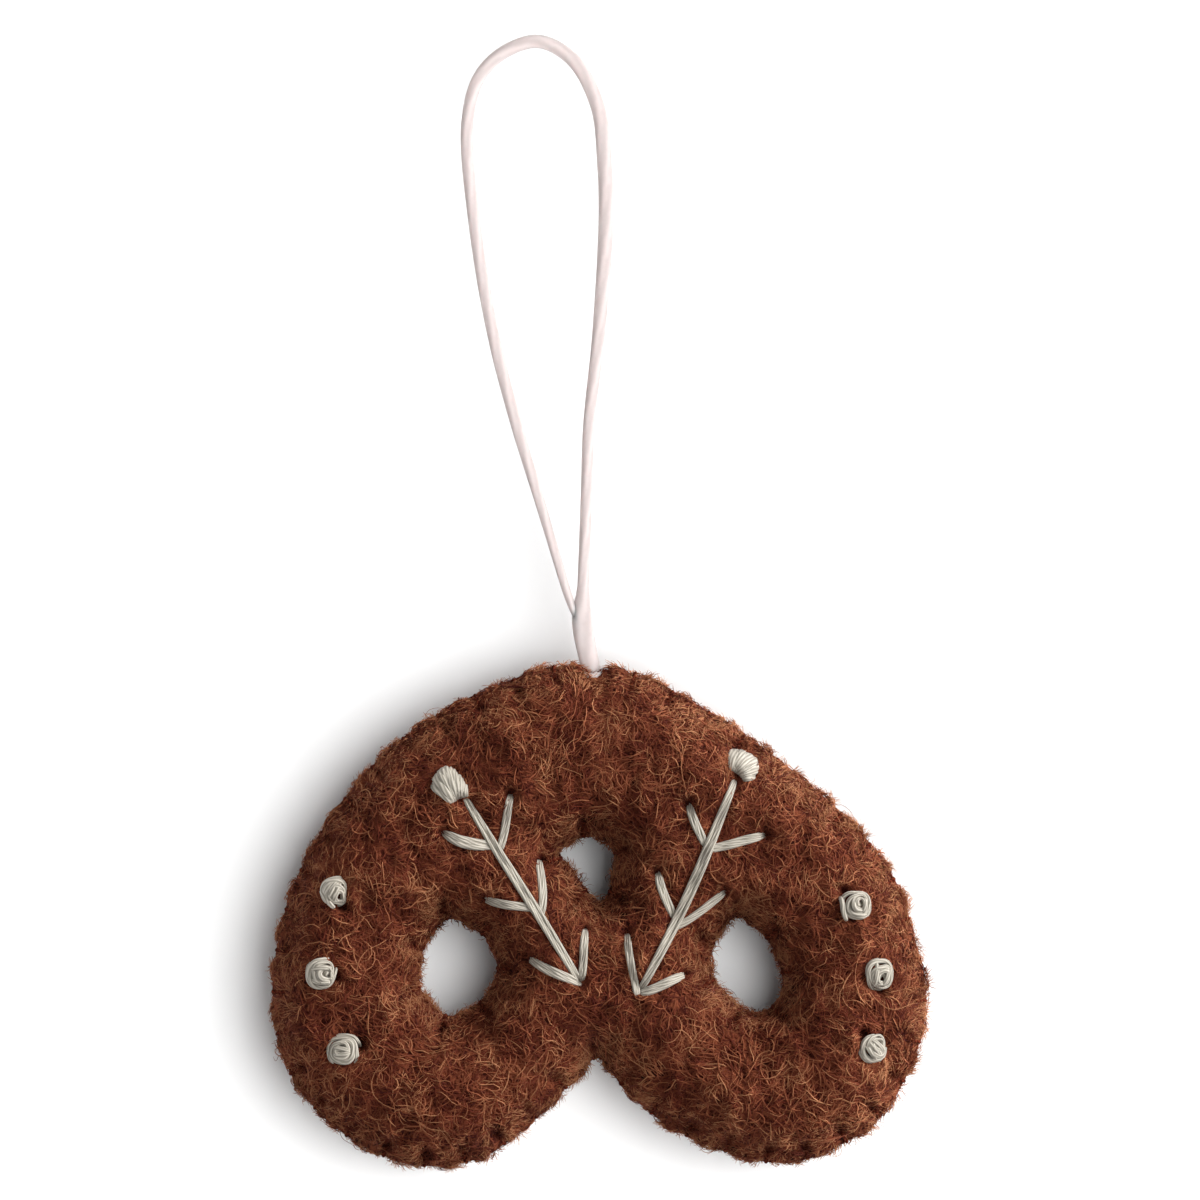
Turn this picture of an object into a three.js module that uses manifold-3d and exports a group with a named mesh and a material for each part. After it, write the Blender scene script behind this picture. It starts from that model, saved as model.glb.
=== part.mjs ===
// A pretzel-shaped christmas ornament: two felt panels sewn edge to edge round a stuffing, embroidered
// on the front with two twigs and six knots, and hung on a loop of cord.
// Millimetres, +Z up. The origin is where the loop hangs, and the embroidered front faces -Y.
import * as THREE from 'three';
import { mergeVertices } from 'three/addons/utils/BufferGeometryUtils.js';
import Module from 'manifold-3d';

const wasm = await Module();
wasm.setup();

// The felt body
const ORNAMENT_WIDTH = 75;
const ORNAMENT_HEIGHT = 57.5;
const FELT_THICKNESS = 2;
const RIM_THICKNESS = 1.2; // one panel where the seam presses it flat
const CROWN = 5.2; // rise of a panel's outer face above its rim
const CROWN_REACH = 7.5; // distance from the seams at which the crown is full
const PLUMPNESS = 0.85; // below 1 the sides stand up steeper
const SEAM_ALLOWANCE = 1.8; // how far in from the edge the two panels lie face to face
const CLEARANCE = 0.3; // between pieces that touch
const STUFFING_CLEARANCE = 0.45; // round the stuffing, whose facets bend more
const LEFT_HOLE_WIDTH = 9.5;
const LEFT_HOLE_HEIGHT = 11.9;
const RIGHT_HOLE_WIDTH = 8.8;
const RIGHT_HOLE_HEIGHT = 11.9;
const TOP_HOLE_WIDTH = 7;
const TOP_HOLE_HEIGHT = 8.4;

// How finely the felt is drawn, apart from its edges, which have two steps for each stitch
const RIM_RING = 1.7; // from the edge to the first ring of points inside it
const GRID_STEP = 3.6;
const GRID_MARGIN = 2.5; // between the grid and the points of the edges and rings

// Sewing thread: a blanket stitch round every edge
const SEAM_THREAD = 0.6;
const SEAM_SIDES = 4;
const STITCH_PITCH = 4.8;
const STITCH_DEPTH = 1.2; // from the edge to where a stitch enters the felt
const STITCH_TRIM = 0.1; // steps by which a stitch gets shorter beside the embroidery

// Embroidery thread
const STEM_WIDTH = 1.3;
const LEAF_WIDTH = 1.05;
const FLOSS_HEIGHT = 0.7;
const FLOSS_SIDES = 8;
const STEM_STEPS = 10;
const LEAF_STEPS = 5;
const STITCH_ENDS = 0.55; // width of a stitch's ends, as a share of its middle
const LENS = 1; // how a stitch narrows: evenly towards its ends
const BLUNT = 0.25; // or only close to them
const LEFT_BUD_LENGTH = 3.9;
const RIGHT_BUD_LENGTH = 3.1;
const BUD_STITCHES = 5;
const BUD_SPREAD = 64; // degrees between the outer stitches of the fan
const BUD_STITCH_WIDTH = 1.2;
const BUD_SIDES = 6;
const BUD_STEPS = 3;
const BUD_UNEVENNESS = 0.1; // every second stitch is shorter by this share
const BUD_GAP = 0.45; // from the stem to the foot of the bud
const KNOT_HEIGHT = 1.7;
const KNOT_SIDES = 12;

// Half a knot's section, from the middle of its underside to the hollow in its top, as shares of its
// radius and height
const KNOT_PROFILE = [[0, 0], [0.7, 0], [1, 0.3], [0.92, 0.7], [0.6, 1], [0.25, 0.88], [0, 0.7]];

// Hanging cord
const CORD_DIAMETER = 1.4;
const CORD_STEPS = 48;
const CORD_SIDES = 8;
const STRAND_GAP = 0.5; // between the two strands where they lie side by side
const SWAY_RISE = 1; // the sway axis, above the felt's edge at the exit
const CORD_DIP = 1.4; // how far below the sway axis the loop's ends reach
const TAIL_LENGTH = 5.5;
const INNER_KNOT_WIDTH = 4.4;
const INNER_KNOT_HEIGHT = 3.2;
const INNER_KNOT_DEPTH = 3;
const SCOOP_SIDES = 24;
const GAP_SAMPLES = 300; // places along the loop where its gap to itself is measured

// The cord's two strands from the hanging point down to the neck, as [x, z]
const LEFT_STRAND = [
  [-4, -0.5], [-6.9, -3.4], [-8.2, -8.7], [-7.3, -20.5], [-5, -33.5],
  [-2.2, -43.7], [0.2, -52.3], [2, -59], [2.9, -63],
];
const RIGHT_STRAND = [
  [3.9, -1.4], [6.8, -6.8], [7.7, -13.4], [7.9, -20.5], [7.2, -33.5],
  [6.3, -43.7], [5.8, -52.3], [5.6, -59], [5.6, -63],
];
const NECK_TOP = [5.05, -66.9]; // where the strands have come together
const CORD_EXIT = [6.4, -72.9]; // where they enter the top seam

// The outer seam, from the exit down the left side and round, as shares of the width from the middle
// and of the height from the bottom
const OUTLINE = [
  [-0.009, 0.981], [-0.055, 0.998], [-0.141, 0.966], [-0.224, 0.917], [-0.309, 0.845],
  [-0.396, 0.724], [-0.462, 0.579], [-0.494, 0.44], [-0.5, 0.31], [-0.47, 0.172],
  [-0.4, 0.071], [-0.318, 0.013], [-0.245, 0], [-0.176, 0.022], [-0.112, 0.084],
  [-0.046, 0.168], [-0.004, 0.218], [0.045, 0.148], [0.105, 0.083], [0.185, 0.034],
  [0.272, 0.007], [0.345, 0.027], [0.427, 0.095], [0.482, 0.215], [0.499, 0.337],
  [0.482, 0.45], [0.455, 0.56], [0.405, 0.655], [0.352, 0.724], [0.25, 0.832],
  [0.1515, 0.917], [0.079, 0.966], [0.03, 0.992],
];

// The three holes: middle in shares as above, width and height, and a clockwise outline in shares of
// that width and height
const HOLES = [
  {
    name: 'left_hole',
    middle: [-0.219, 0.394],
    width: LEFT_HOLE_WIDTH,
    height: LEFT_HOLE_HEIGHT,
    outline: [
      [-0.14, 0.5], [0.22, 0.4], [0.5, 0.13], [0.4, -0.26], [-0.1, -0.5], [-0.48, -0.24], [-0.45, 0.2],
    ],
  },
  {
    name: 'right_hole',
    middle: [0.226, 0.399],
    width: RIGHT_HOLE_WIDTH,
    height: RIGHT_HOLE_HEIGHT,
    outline: [
      [-0.12, 0.5], [0.22, 0.34], [0.45, 0.07], [0.5, -0.29],
      [0.16, -0.5], [-0.28, -0.31], [-0.5, -0.06], [-0.43, 0.27],
    ],
  },
  {
    name: 'top_hole',
    middle: [-0.02, 0.591],
    width: TOP_HOLE_WIDTH,
    height: TOP_HOLE_HEIGHT,
    outline: [
      [-0.06, 0.5], [0.26, 0.46], [0.5, 0.22], [0.47, -0.14], [0.24, -0.5], [-0.2, -0.13], [-0.5, 0.27],
    ],
  },
];

// A twig: its stem's two ends in shares as above, the bud end first, the bud's length, and its leaf
// stitches, each with its place along the stem, its side, its angle from the stem and its length
const TWIGS = [
  {
    name: 'left',
    bud: [-0.2071, 0.7298],
    foot: [-0.0309, 0.373],
    budLength: LEFT_BUD_LENGTH,
    leaves: [
      [0.25, 1, 43, 5.3], [0.25, -1, 45, 6], [0.59, 1, 45, 5.1],
      [0.59, -1, 28, 5.4], [1, 1, 32, 6.4], [1, -1, 37, 6.1],
    ],
  },
  {
    name: 'right',
    bud: [0.2087, 0.7681],
    foot: [0.0603, 0.3528],
    budLength: RIGHT_BUD_LENGTH,
    leaves: [
      [0.29, 1, 50, 4.9], [0.29, -1, 51, 5.9], [0.64, 1, 46, 5.4],
      [0.64, -1, 31, 6], [1, 1, 37, 6.8], [1, -1, 45, 5.5],
    ],
  },
];

// French knots: middle in shares as above, and diameter
const KNOTS = {
  left: [[-0.4065, 0.5504, 3.6], [-0.4266, 0.3871, 3.8], [-0.3941, 0.2319, 4.1]],
  right: [[0.3941, 0.5242, 3.6], [0.4281, 0.3851, 3.7], [0.4189, 0.2379, 3.5]],
};

const FELT_BROWN = { color: 0x6e3d29, roughness: 0.95, metalness: 0 };
const STUFFING_WHITE = { color: 0xe6e2da, roughness: 0.95, metalness: 0 };
const THREAD_BROWN = { color: 0x4a2318, roughness: 0.85, metalness: 0 };
const FLOSS_SAGE = { color: 0xb4b4a4, roughness: 0.6, metalness: 0 };
const CORD_PALE = { color: 0xe6d6d2, roughness: 0.7, metalness: 0 };

const root = new THREE.Group();
const ornament = new THREE.Group();
ornament.position.set(CORD_EXIT[0], 0, CORD_EXIT[1]);
root.add(ornament);

function addPiece(group, name, geometry, finish) {
  const mesh = new THREE.Mesh(geometry, new THREE.MeshStandardMaterial(finish));
  mesh.name = name;
  group.add(mesh);
}

function geometryOf(positions, triangles) {
  const geometry = new THREE.BufferGeometry();
  geometry.setAttribute('position', new THREE.Float32BufferAttribute(positions, 3));
  geometry.setIndex(triangles);
  return geometry;
}

function solidOf(geometry) {
  const bare = geometry.clone();
  bare.deleteAttribute('normal');
  bare.deleteAttribute('uv');
  const merged = mergeVertices(bare);
  const vertProperties = new Float32Array(merged.attributes.position.array);
  const triVerts = new Uint32Array(merged.index.array);
  return new wasm.Manifold(new wasm.Mesh({ numProp: 3, vertProperties, triVerts }));
}

function geometryOfSolid(solid) {
  const mesh = solid.getMesh();
  return geometryOf(Array.from(mesh.vertProperties), Array.from(mesh.triVerts));
}

// A place on the plan, from shares of the ornament's width and height, with the cord's exit at [0, 0]
function place([across, up]) {
  return [(across - OUTLINE[0][0]) * ORNAMENT_WIDTH, (up - OUTLINE[0][1]) * ORNAMENT_HEIGHT];
}

// Evenly spaced points on a smooth closed line, two for each stitch, with the felt on its left
function seamLine(corners) {
  const points = corners.map(([x, z]) => new THREE.Vector3(x, 0, z));
  const curve = new THREE.CatmullRomCurve3(points, true, 'centripetal');
  const count = 2 * Math.max(4, Math.round(curve.getLength() / STITCH_PITCH));
  return curve.getSpacedPoints(count).slice(0, count).map((p) => [p.x, p.z]);
}

// The direction of travel at each point of a closed line
function directions(line) {
  return line.map((_, i) => {
    const [x0, z0] = line[(i + line.length - 1) % line.length];
    const [x1, z1] = line[(i + 1) % line.length];
    const length = Math.hypot(x1 - x0, z1 - z0);
    return [(x1 - x0) / length, (z1 - z0) / length];
  });
}

// The points of a closed line moved to their left, into the felt
function inset(line, distance) {
  return directions(line).map(([tx, tz], i) => [line[i][0] - tz * distance, line[i][1] + tx * distance]);
}

function midpoints(line) {
  return line.map(([x, z], i) => {
    const [nextX, nextZ] = line[(i + 1) % line.length];
    return [(x + nextX) / 2, (z + nextZ) / 2];
  });
}

function holeCorners({ middle, width, height, outline }) {
  const [x, z] = place(middle);
  return outline.map(([across, up]) => [x + across * width, z + up * height]);
}

const outerLine = seamLine(OUTLINE.map(place));
const holeLines = HOLES.map((hole) => seamLine(holeCorners(hole)));
const seamLines = [outerLine, ...holeLines];

// How far a place on the plan is from the seams: u, where 2 / u^2 is the integral of 1 / r^3 along all
// the seams. Beside one long straight seam it is the plain distance, and it has no creases.
function seamDistance(x, z) {
  let sum = 0;
  for (const line of seamLines) {
    for (let i = 0; i < line.length; i += 1) {
      const [ax, az] = line[i];
      const [bx, bz] = line[(i + 1) % line.length];
      const length = Math.hypot(bx - ax, bz - az);
      const start = ((ax - x) * (bx - ax) + (az - z) * (bz - az)) / length;
      const end = start + length;
      const off = ((ax - x) * (bz - az) - (az - z) * (bx - ax)) / length;
      if (Math.abs(off) > 1e-4) {
        sum += (end / Math.hypot(off, end) - start / Math.hypot(off, start)) / off ** 2;
      } else if (start * end <= 0) {
        return 0;
      } else {
        sum += Math.abs(0.5 / start ** 2 - 0.5 / end ** 2);
      }
    }
  }
  return Math.sqrt(2 / sum);
}

function swell(share) {
  const rest = 1 - Math.min(1, Math.max(0, share));
  return (1 - rest ** 2) ** PLUMPNESS;
}

// Half the thickness of the whole ornament, and of the space inside it, by distance from the seams
function outerFace(u) {
  return CLEARANCE / 2 + RIM_THICKNESS + CROWN * swell(u / CROWN_REACH);
}

function innerFace(u) {
  const rise = CROWN + RIM_THICKNESS - FELT_THICKNESS;
  return CLEARANCE / 2 + rise * swell((u - SEAM_ALLOWANCE) / (CROWN_REACH - SEAM_ALLOWANCE));
}

function stuffingFace(u) {
  return innerFace(u) - STUFFING_CLEARANCE;
}

function isInside([x, z], line) {
  let inside = false;
  for (let i = 0, j = line.length - 1; i < line.length; j = i, i += 1) {
    const [xi, zi] = line[i];
    const [xj, zj] = line[j];
    if (zi > z !== zj > z && x < ((xj - xi) * (z - zi)) / (zj - zi) + xi) {
      inside = !inside;
    }
  }
  return inside;
}

function isOnFelt(point, [outer, ...holes]) {
  return isInside(point, outer) && !holes.some((hole) => isInside(point, hole));
}

function leastDistance([x, z], points) {
  return Math.min(...points.map(([px, pz]) => Math.hypot(px - x, pz - z)));
}

// Delaunay triangles of plan points: each new point replaces the triangles whose circles hold it
function delaunay(points) {
  const far = 20 * (ORNAMENT_WIDTH + ORNAMENT_HEIGHT);
  const all = [...points, [-far, -far], [far, -far], [0, far]];
  const circled = (a, b, c) => {
    const [ax, az] = all[a];
    const [bx, bz] = [all[b][0] - ax, all[b][1] - az];
    const [cx, cz] = [all[c][0] - ax, all[c][1] - az];
    const twice = 2 * (bx * cz - bz * cx);
    const x = (cz * (bx * bx + bz * bz) - bz * (cx * cx + cz * cz)) / twice;
    const z = (bx * (cx * cx + cz * cz) - cx * (bx * bx + bz * bz)) / twice;
    return { corners: [a, b, c], x: ax + x, z: az + z, radius2: x * x + z * z };
  };
  const last = points.length;
  let triangles = [circled(last, last + 1, last + 2)];
  points.forEach(([x, z], index) => {
    const holds = (t) => (x - t.x) ** 2 + (z - t.z) ** 2 < t.radius2;
    const edges = new Map();
    triangles.filter(holds).forEach(({ corners }) => {
      corners.forEach((a, i) => {
        const b = corners[(i + 1) % 3];
        if (!edges.delete(`${b},${a}`)) {
          edges.set(`${a},${b}`, [a, b]);
        }
      });
    });
    triangles = triangles.filter((t) => !holds(t));
    edges.forEach(([a, b]) => triangles.push(circled(a, b, index)));
  });
  return triangles.map((t) => t.corners).filter((corners) => corners.every((i) => i < last));
}

// The plan of one layer: its edge lines, a ring of points inside each and an even grid between them.
// A ring's point that comes closer to another edge than to its own is left out.
function planOf(lines) {
  const edgePoints = lines.flat();
  const edgeMiddles = lines.flatMap(midpoints);
  const ringPoints = lines
    .flatMap((line) => inset(midpoints(line), RIM_RING))
    .filter((point, i) => leastDistance(point, edgeMiddles.toSpliced(i, 1)) > RIM_RING);
  const framed = [...edgePoints, ...ringPoints];
  const inner = [];
  const rowStep = (GRID_STEP * Math.sqrt(3)) / 2;
  const [left, bottom] = place([-0.5, 0]);
  const rows = Math.ceil(ORNAMENT_HEIGHT / rowStep);
  const columns = Math.ceil(ORNAMENT_WIDTH / GRID_STEP);
  for (let row = 0; row <= rows; row += 1) {
    for (let column = 0; column <= columns; column += 1) {
      const point = [left + (column + (row % 2) / 2) * GRID_STEP, bottom + row * rowStep];
      if (isOnFelt(point, lines) && leastDistance(point, framed) > GRID_MARGIN) {
        inner.push(point);
      }
    }
  }
  const points = [...framed, ...inner];
  const middle = (corners) => [0, 1].map((k) => corners.reduce((sum, i) => sum + points[i][k] / 3, 0));
  const triangles = delaunay(points).filter((corners) => isOnFelt(middle(corners), lines));
  const reach = points.map(([x, z], i) => (i < edgePoints.length ? 0 : seamDistance(x, z)));
  return { points, lines, triangles, reach };
}

// A felt panel: a closed slab over the plan between two faces, given by distance from the seams
function panel({ points, lines, triangles, reach }, lowY, highY) {
  const low = points.map(([x, z], i) => [x, lowY(reach[i]), z]);
  const high = points.map(([x, z], i) => [x, highY(reach[i]), z]);
  const top = points.length;
  const faces = triangles.flatMap(([a, b, c]) => [a, b, c, top + a, top + c, top + b]);
  let first = 0;
  lines.forEach((line) => {
    line.forEach((_, i) => {
      const a = first + i;
      const b = first + ((i + 1) % line.length);
      faces.push(a, top + a, top + b, a, top + b, b);
    });
    first += line.length;
  });
  return geometryOf([...low, ...high].flat(), faces);
}

// The stuffing: two faces over the same plan, which meet in a thin edge where there is no room for it
function wadding({ points, triangles, reach }, face) {
  const half = reach.map((u) => Math.max(0, face(u)));
  const low = points.map(([x, z], i) => [x, -half[i], z]);
  const high = points.map(([x, z], i) => [x, half[i], z]);
  const filled = triangles.filter((corners) => corners.some((i) => half[i] > 0));
  const above = (i) => (half[i] > 0 ? points.length + i : i);
  const faces = filled.flatMap(([a, b, c]) => [a, b, c, above(a), above(c), above(b)]);
  return geometryOf([...low, ...high].flat(), faces);
}

// A solid lofted through stations, each with a centre and two half-axes whose cross product points on
function loft(stations, sides, closed = false) {
  const positions = [];
  stations.forEach(({ centre, across, lift }) => {
    for (let side = 0; side < sides; side += 1) {
      const angle = ((side + 0.5) / sides) * 2 * Math.PI;
      const point = centre.clone();
      point.addScaledVector(across, Math.cos(angle)).addScaledVector(lift, Math.sin(angle));
      positions.push(point.x, point.y, point.z);
    }
  });
  const count = stations.length;
  const triangles = [];
  for (let k = 0; k < (closed ? count : count - 1); k += 1) {
    for (let side = 0; side < sides; side += 1) {
      const next = (side + 1) % sides;
      const here = k * sides;
      const there = ((k + 1) % count) * sides;
      triangles.push(here + side, here + next, there + side, here + next, there + next, there + side);
    }
  }
  if (!closed) {
    const end = (count - 1) * sides;
    for (let side = 1; side < sides - 1; side += 1) {
      triangles.push(0, side + 1, side, end, end + side, end + side + 1);
    }
  }
  return geometryOf(positions, triangles);
}

// The front's outer face as a point above the plan, and its direction outwards
function frontPoint(x, z, rise) {
  return new THREE.Vector3(x, -outerFace(seamDistance(x, z)) - rise, z);
}

function frontNormal(x, z) {
  const step = 0.5;
  const slopeX = (frontPoint(x + step, z, 0).y - frontPoint(x - step, z, 0).y) / (2 * step);
  const slopeZ = (frontPoint(x, z + step, 0).y - frontPoint(x, z - step, 0).y) / (2 * step);
  return new THREE.Vector3(slopeX, -1, slopeZ).normalize();
}

// A laid stitch on the front between two plan points, with its half-width along it as a function of
// the share of its length. The seams stop short of every one.
const laidStitches = [];

function laidStitch([x0, z0], [x1, z1], halfWidth, steps, sides) {
  laidStitches.push({ start: [x0, z0], end: [x1, z1], half: halfWidth(0.5) });
  const stations = [];
  const along = new THREE.Vector3(x1 - x0, 0, z1 - z0).normalize();
  for (let k = 0; k <= steps; k += 1) {
    const share = k / steps;
    const x = x0 + (x1 - x0) * share;
    const z = z0 + (z1 - z0) * share;
    const up = frontNormal(x, z);
    const across = up.clone().cross(along).normalize();
    const half = halfWidth(share);
    stations.push({
      centre: frontPoint(x, z, 0).addScaledVector(up, CLEARANCE + FLOSS_HEIGHT / 2),
      across: across.multiplyScalar(half),
      lift: up.multiplyScalar((FLOSS_HEIGHT / 2) * Math.min(1, half / (LEAF_WIDTH / 2))),
    });
  }
  return loft(stations, sides);
}

// The felt panels and the stuffing, before the cord's way in is cut
const feltPlan = planOf(seamLines);
const frontPanel = panel(feltPlan, (u) => -outerFace(u), (u) => -innerFace(u));
const backPanel = panel(feltPlan, innerFace, outerFace);
const fill = wadding(feltPlan, stuffingFace);

// The cord's way in: a scoop in the edge round the sway axis, a channel between the panels, and a
// pocket in the stuffing for the knot
const strandOffset = (CORD_DIAMETER + STRAND_GAP) / 2;
const neckHalfWidth = strandOffset + CORD_DIAMETER / 2;
const scoopRadius = Math.hypot(neckHalfWidth, CORD_DIP) + CLEARANCE;
const tailTop = SWAY_RISE - scoopRadius - CLEARANCE;
const tailBottom = tailTop - TAIL_LENGTH;
const thickness = 2 * outerFace(CROWN_REACH);

function box(width, depth, low, high) {
  const geometry = new THREE.BoxGeometry(width, depth, high - low);
  return geometry.translate(0, 0, (low + high) / 2);
}

function ball(width, depth, height, z) {
  const geometry = new THREE.SphereGeometry(0.5, 12, 8).rotateX(Math.PI / 2);
  return geometry.scale(width, depth, height).translate(0, 0, z);
}

const drum = new THREE.CylinderGeometry(scoopRadius, scoopRadius, thickness, SCOOP_SIDES);
const scoop = solidOf(drum.translate(0, 0, SWAY_RISE));
const channel = solidOf(
  box(2 * (neckHalfWidth + CLEARANCE), CORD_DIAMETER + 2 * CLEARANCE, tailBottom, SWAY_RISE),
);
const pocket = solidOf(
  ball(
    INNER_KNOT_WIDTH + 2 * STUFFING_CLEARANCE,
    INNER_KNOT_DEPTH + 2 * STUFFING_CLEARANCE,
    INNER_KNOT_HEIGHT + 2 * STUFFING_CLEARANCE,
    tailBottom,
  ),
);
const wayIn = scoop.add(channel);

addPiece(ornament, 'front_felt', geometryOfSolid(solidOf(frontPanel).subtract(wayIn)), FELT_BROWN);
addPiece(ornament, 'back_felt', geometryOfSolid(solidOf(backPanel).subtract(wayIn)), FELT_BROWN);
const stuffing = solidOf(fill).subtract(channel).subtract(pocket);
addPiece(ornament, 'stuffing', geometryOfSolid(stuffing), STUFFING_WHITE);

// A length of cord along a line
function cordAlong(extrudePath, steps) {
  const corners = [];
  for (let side = 0; side < CORD_SIDES; side += 1) {
    const angle = (side / CORD_SIDES) * 2 * Math.PI;
    corners.push(new THREE.Vector2(Math.cos(angle), Math.sin(angle)).multiplyScalar(CORD_DIAMETER / 2));
  }
  return new THREE.ExtrudeGeometry(new THREE.Shape(corners), { steps, extrudePath, bevelEnabled: false });
}

// The cord's tails side by side and the knot that keeps them in
const tails = [-1, 1].map((side) => {
  const x = side * strandOffset;
  const ends = [new THREE.Vector3(x, 0, tailTop), new THREE.Vector3(x, 0, tailBottom)];
  return solidOf(cordAlong(new THREE.LineCurve3(...ends), 1));
});
const knot = solidOf(ball(INNER_KNOT_WIDTH, INNER_KNOT_DEPTH, INNER_KNOT_HEIGHT, tailBottom));
addPiece(ornament, 'cord_knot', geometryOfSolid(knot.add(tails[0]).add(tails[1])), CORD_PALE);

// The loop: up the left strand, over the hanging point and down the right strand. In the neck the
// strands lie side by side and point at the sway axis.
function neckPoints(side) {
  const axis = [CORD_EXIT[0], CORD_EXIT[1] + SWAY_RISE];
  const lean = Math.atan2(axis[0] - NECK_TOP[0], NECK_TOP[1] - axis[1]);
  const shift = [side * strandOffset * Math.cos(lean), side * strandOffset * Math.sin(lean)];
  const tip = [axis[0] + CORD_DIP * Math.sin(lean), axis[1] - CORD_DIP * Math.cos(lean)];
  return [NECK_TOP, tip].map(([x, z]) => [x + shift[0], z + shift[1]]);
}

const loopTop = [0, CORD_DIAMETER / 2];
const loopPoints = [
  ...[...LEFT_STRAND, ...neckPoints(-1)].reverse(),
  loopTop,
  ...RIGHT_STRAND,
  ...neckPoints(1),
].map(([x, z]) => new THREE.Vector3(x, 0, z));
const loopCurve = new THREE.CatmullRomCurve3(loopPoints, false, 'centripetal');
addPiece(root, 'hanging_cord', cordAlong(loopCurve, CORD_STEPS), CORD_PALE);

// The least gap between stretches of the loop that lie more than four diameters apart along it
const loopSamples = loopCurve.getSpacedPoints(GAP_SAMPLES);
const loopLength = loopCurve.getLength();
const samplesApart = Math.ceil((4 * CORD_DIAMETER * GAP_SAMPLES) / loopLength);
let loopGap = Infinity;
loopSamples.forEach((p, i) => {
  loopSamples.slice(i + samplesApart).forEach((q) => {
    loopGap = Math.min(loopGap, p.distanceTo(q) - CORD_DIAMETER);
  });
});
console.log(`cord loop ${loopLength.toFixed(1)} mm long, least gap to itself ${loopGap.toFixed(2)} mm`);

// The embroidery. Leaf stitches lie on the felt, and the stem lies over their inner ends.
function turned([x, z], degrees) {
  const angle = THREE.MathUtils.degToRad(degrees);
  return [x * Math.cos(angle) - z * Math.sin(angle), x * Math.sin(angle) + z * Math.cos(angle)];
}

// A stitch's half-width, narrower at both ends
function taper(width, power) {
  return (share) => {
    const fullness = Math.abs(Math.sin(Math.PI * share)) ** power;
    return (width / 2) * (STITCH_ENDS + (1 - STITCH_ENDS) * fullness);
  };
}

TWIGS.forEach(({ name, bud, foot, budLength, leaves }) => {
  const [bx, bz] = place(bud);
  const [fx, fz] = place(foot);
  const length = Math.hypot(fx - bx, fz - bz);
  const upStem = [(bx - fx) / length, (bz - fz) / length];

  const stem = laidStitch([bx, bz], [fx, fz], taper(STEM_WIDTH, BLUNT), STEM_STEPS, FLOSS_SIDES);
  addPiece(ornament, `${name}_stem`, stem, FLOSS_SAGE);

  leaves.forEach(([share, side, degrees, leafLength], i) => {
    const direction = turned(upStem, side * degrees);
    const sideways = turned(upStem, side * 90);
    const gap = STEM_WIDTH / 2 + LEAF_WIDTH / 2 + CLEARANCE;
    const start = [
      bx + (fx - bx) * share + sideways[0] * gap,
      bz + (fz - bz) * share + sideways[1] * gap,
    ];
    const tip = [start[0] + direction[0] * leafLength, start[1] + direction[1] * leafLength];
    const leaf = laidStitch(start, tip, taper(LEAF_WIDTH, LENS), LEAF_STEPS, FLOSS_SIDES);
    addPiece(ornament, `${name}_leaf_${i + 1}`, leaf, FLOSS_SAGE);
  });

  const budFoot = [bx + upStem[0] * BUD_GAP, bz + upStem[1] * BUD_GAP];
  let fan = null;
  for (let i = 0; i < BUD_STITCHES; i += 1) {
    const degrees = BUD_SPREAD * (i / (BUD_STITCHES - 1) - 0.5);
    const direction = turned(upStem, degrees);
    const reach = budLength * (1 - BUD_UNEVENNESS * (i % 2));
    const tip = [budFoot[0] + direction[0] * reach, budFoot[1] + direction[1] * reach];
    const half = taper(BUD_STITCH_WIDTH, BLUNT);
    const stitch = solidOf(laidStitch(budFoot, tip, half, BUD_STEPS, BUD_SIDES));
    fan = fan ? fan.add(stitch) : stitch;
  }
  addPiece(ornament, `${name}_bud`, geometryOfSolid(fan), FLOSS_SAGE);
});

// A French knot: a round bun with a hollow in the middle of its top
function knotBun(diameter) {
  const profile = KNOT_PROFILE.map(([out, up]) => new THREE.Vector2((out * diameter) / 2, up * KNOT_HEIGHT));
  return new THREE.LatheGeometry(profile, KNOT_SIDES);
}

Object.entries(KNOTS).forEach(([side, knots]) => {
  knots.forEach(([across, up, diameter], i) => {
    const [x, z] = place([across, up]);
    const normal = frontNormal(x, z);
    const turn = new THREE.Quaternion().setFromUnitVectors(new THREE.Vector3(0, 1, 0), normal);
    const seat = frontPoint(x, z, 0).addScaledVector(normal, CLEARANCE);
    const bun = mergeVertices(knotBun(diameter).applyQuaternion(turn).translate(seat.x, seat.y, seat.z));
    addPiece(ornament, `${side}_knot_${i + 1}`, bun, FLOSS_SAGE);
  });
});

// How far a place on the plan is from the side of the nearest laid stitch
function embroideryGap([x, z]) {
  const gaps = laidStitches.map(({ start, end, half }) => {
    const [dx, dz] = [end[0] - start[0], end[1] - start[1]];
    const along = ((x - start[0]) * dx + (z - start[1]) * dz) / (dx * dx + dz * dz);
    const share = Math.min(1, Math.max(0, along));
    return Math.hypot(start[0] + share * dx - x, start[1] + share * dz - z) - half;
  });
  return Math.min(...gaps);
}

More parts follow.
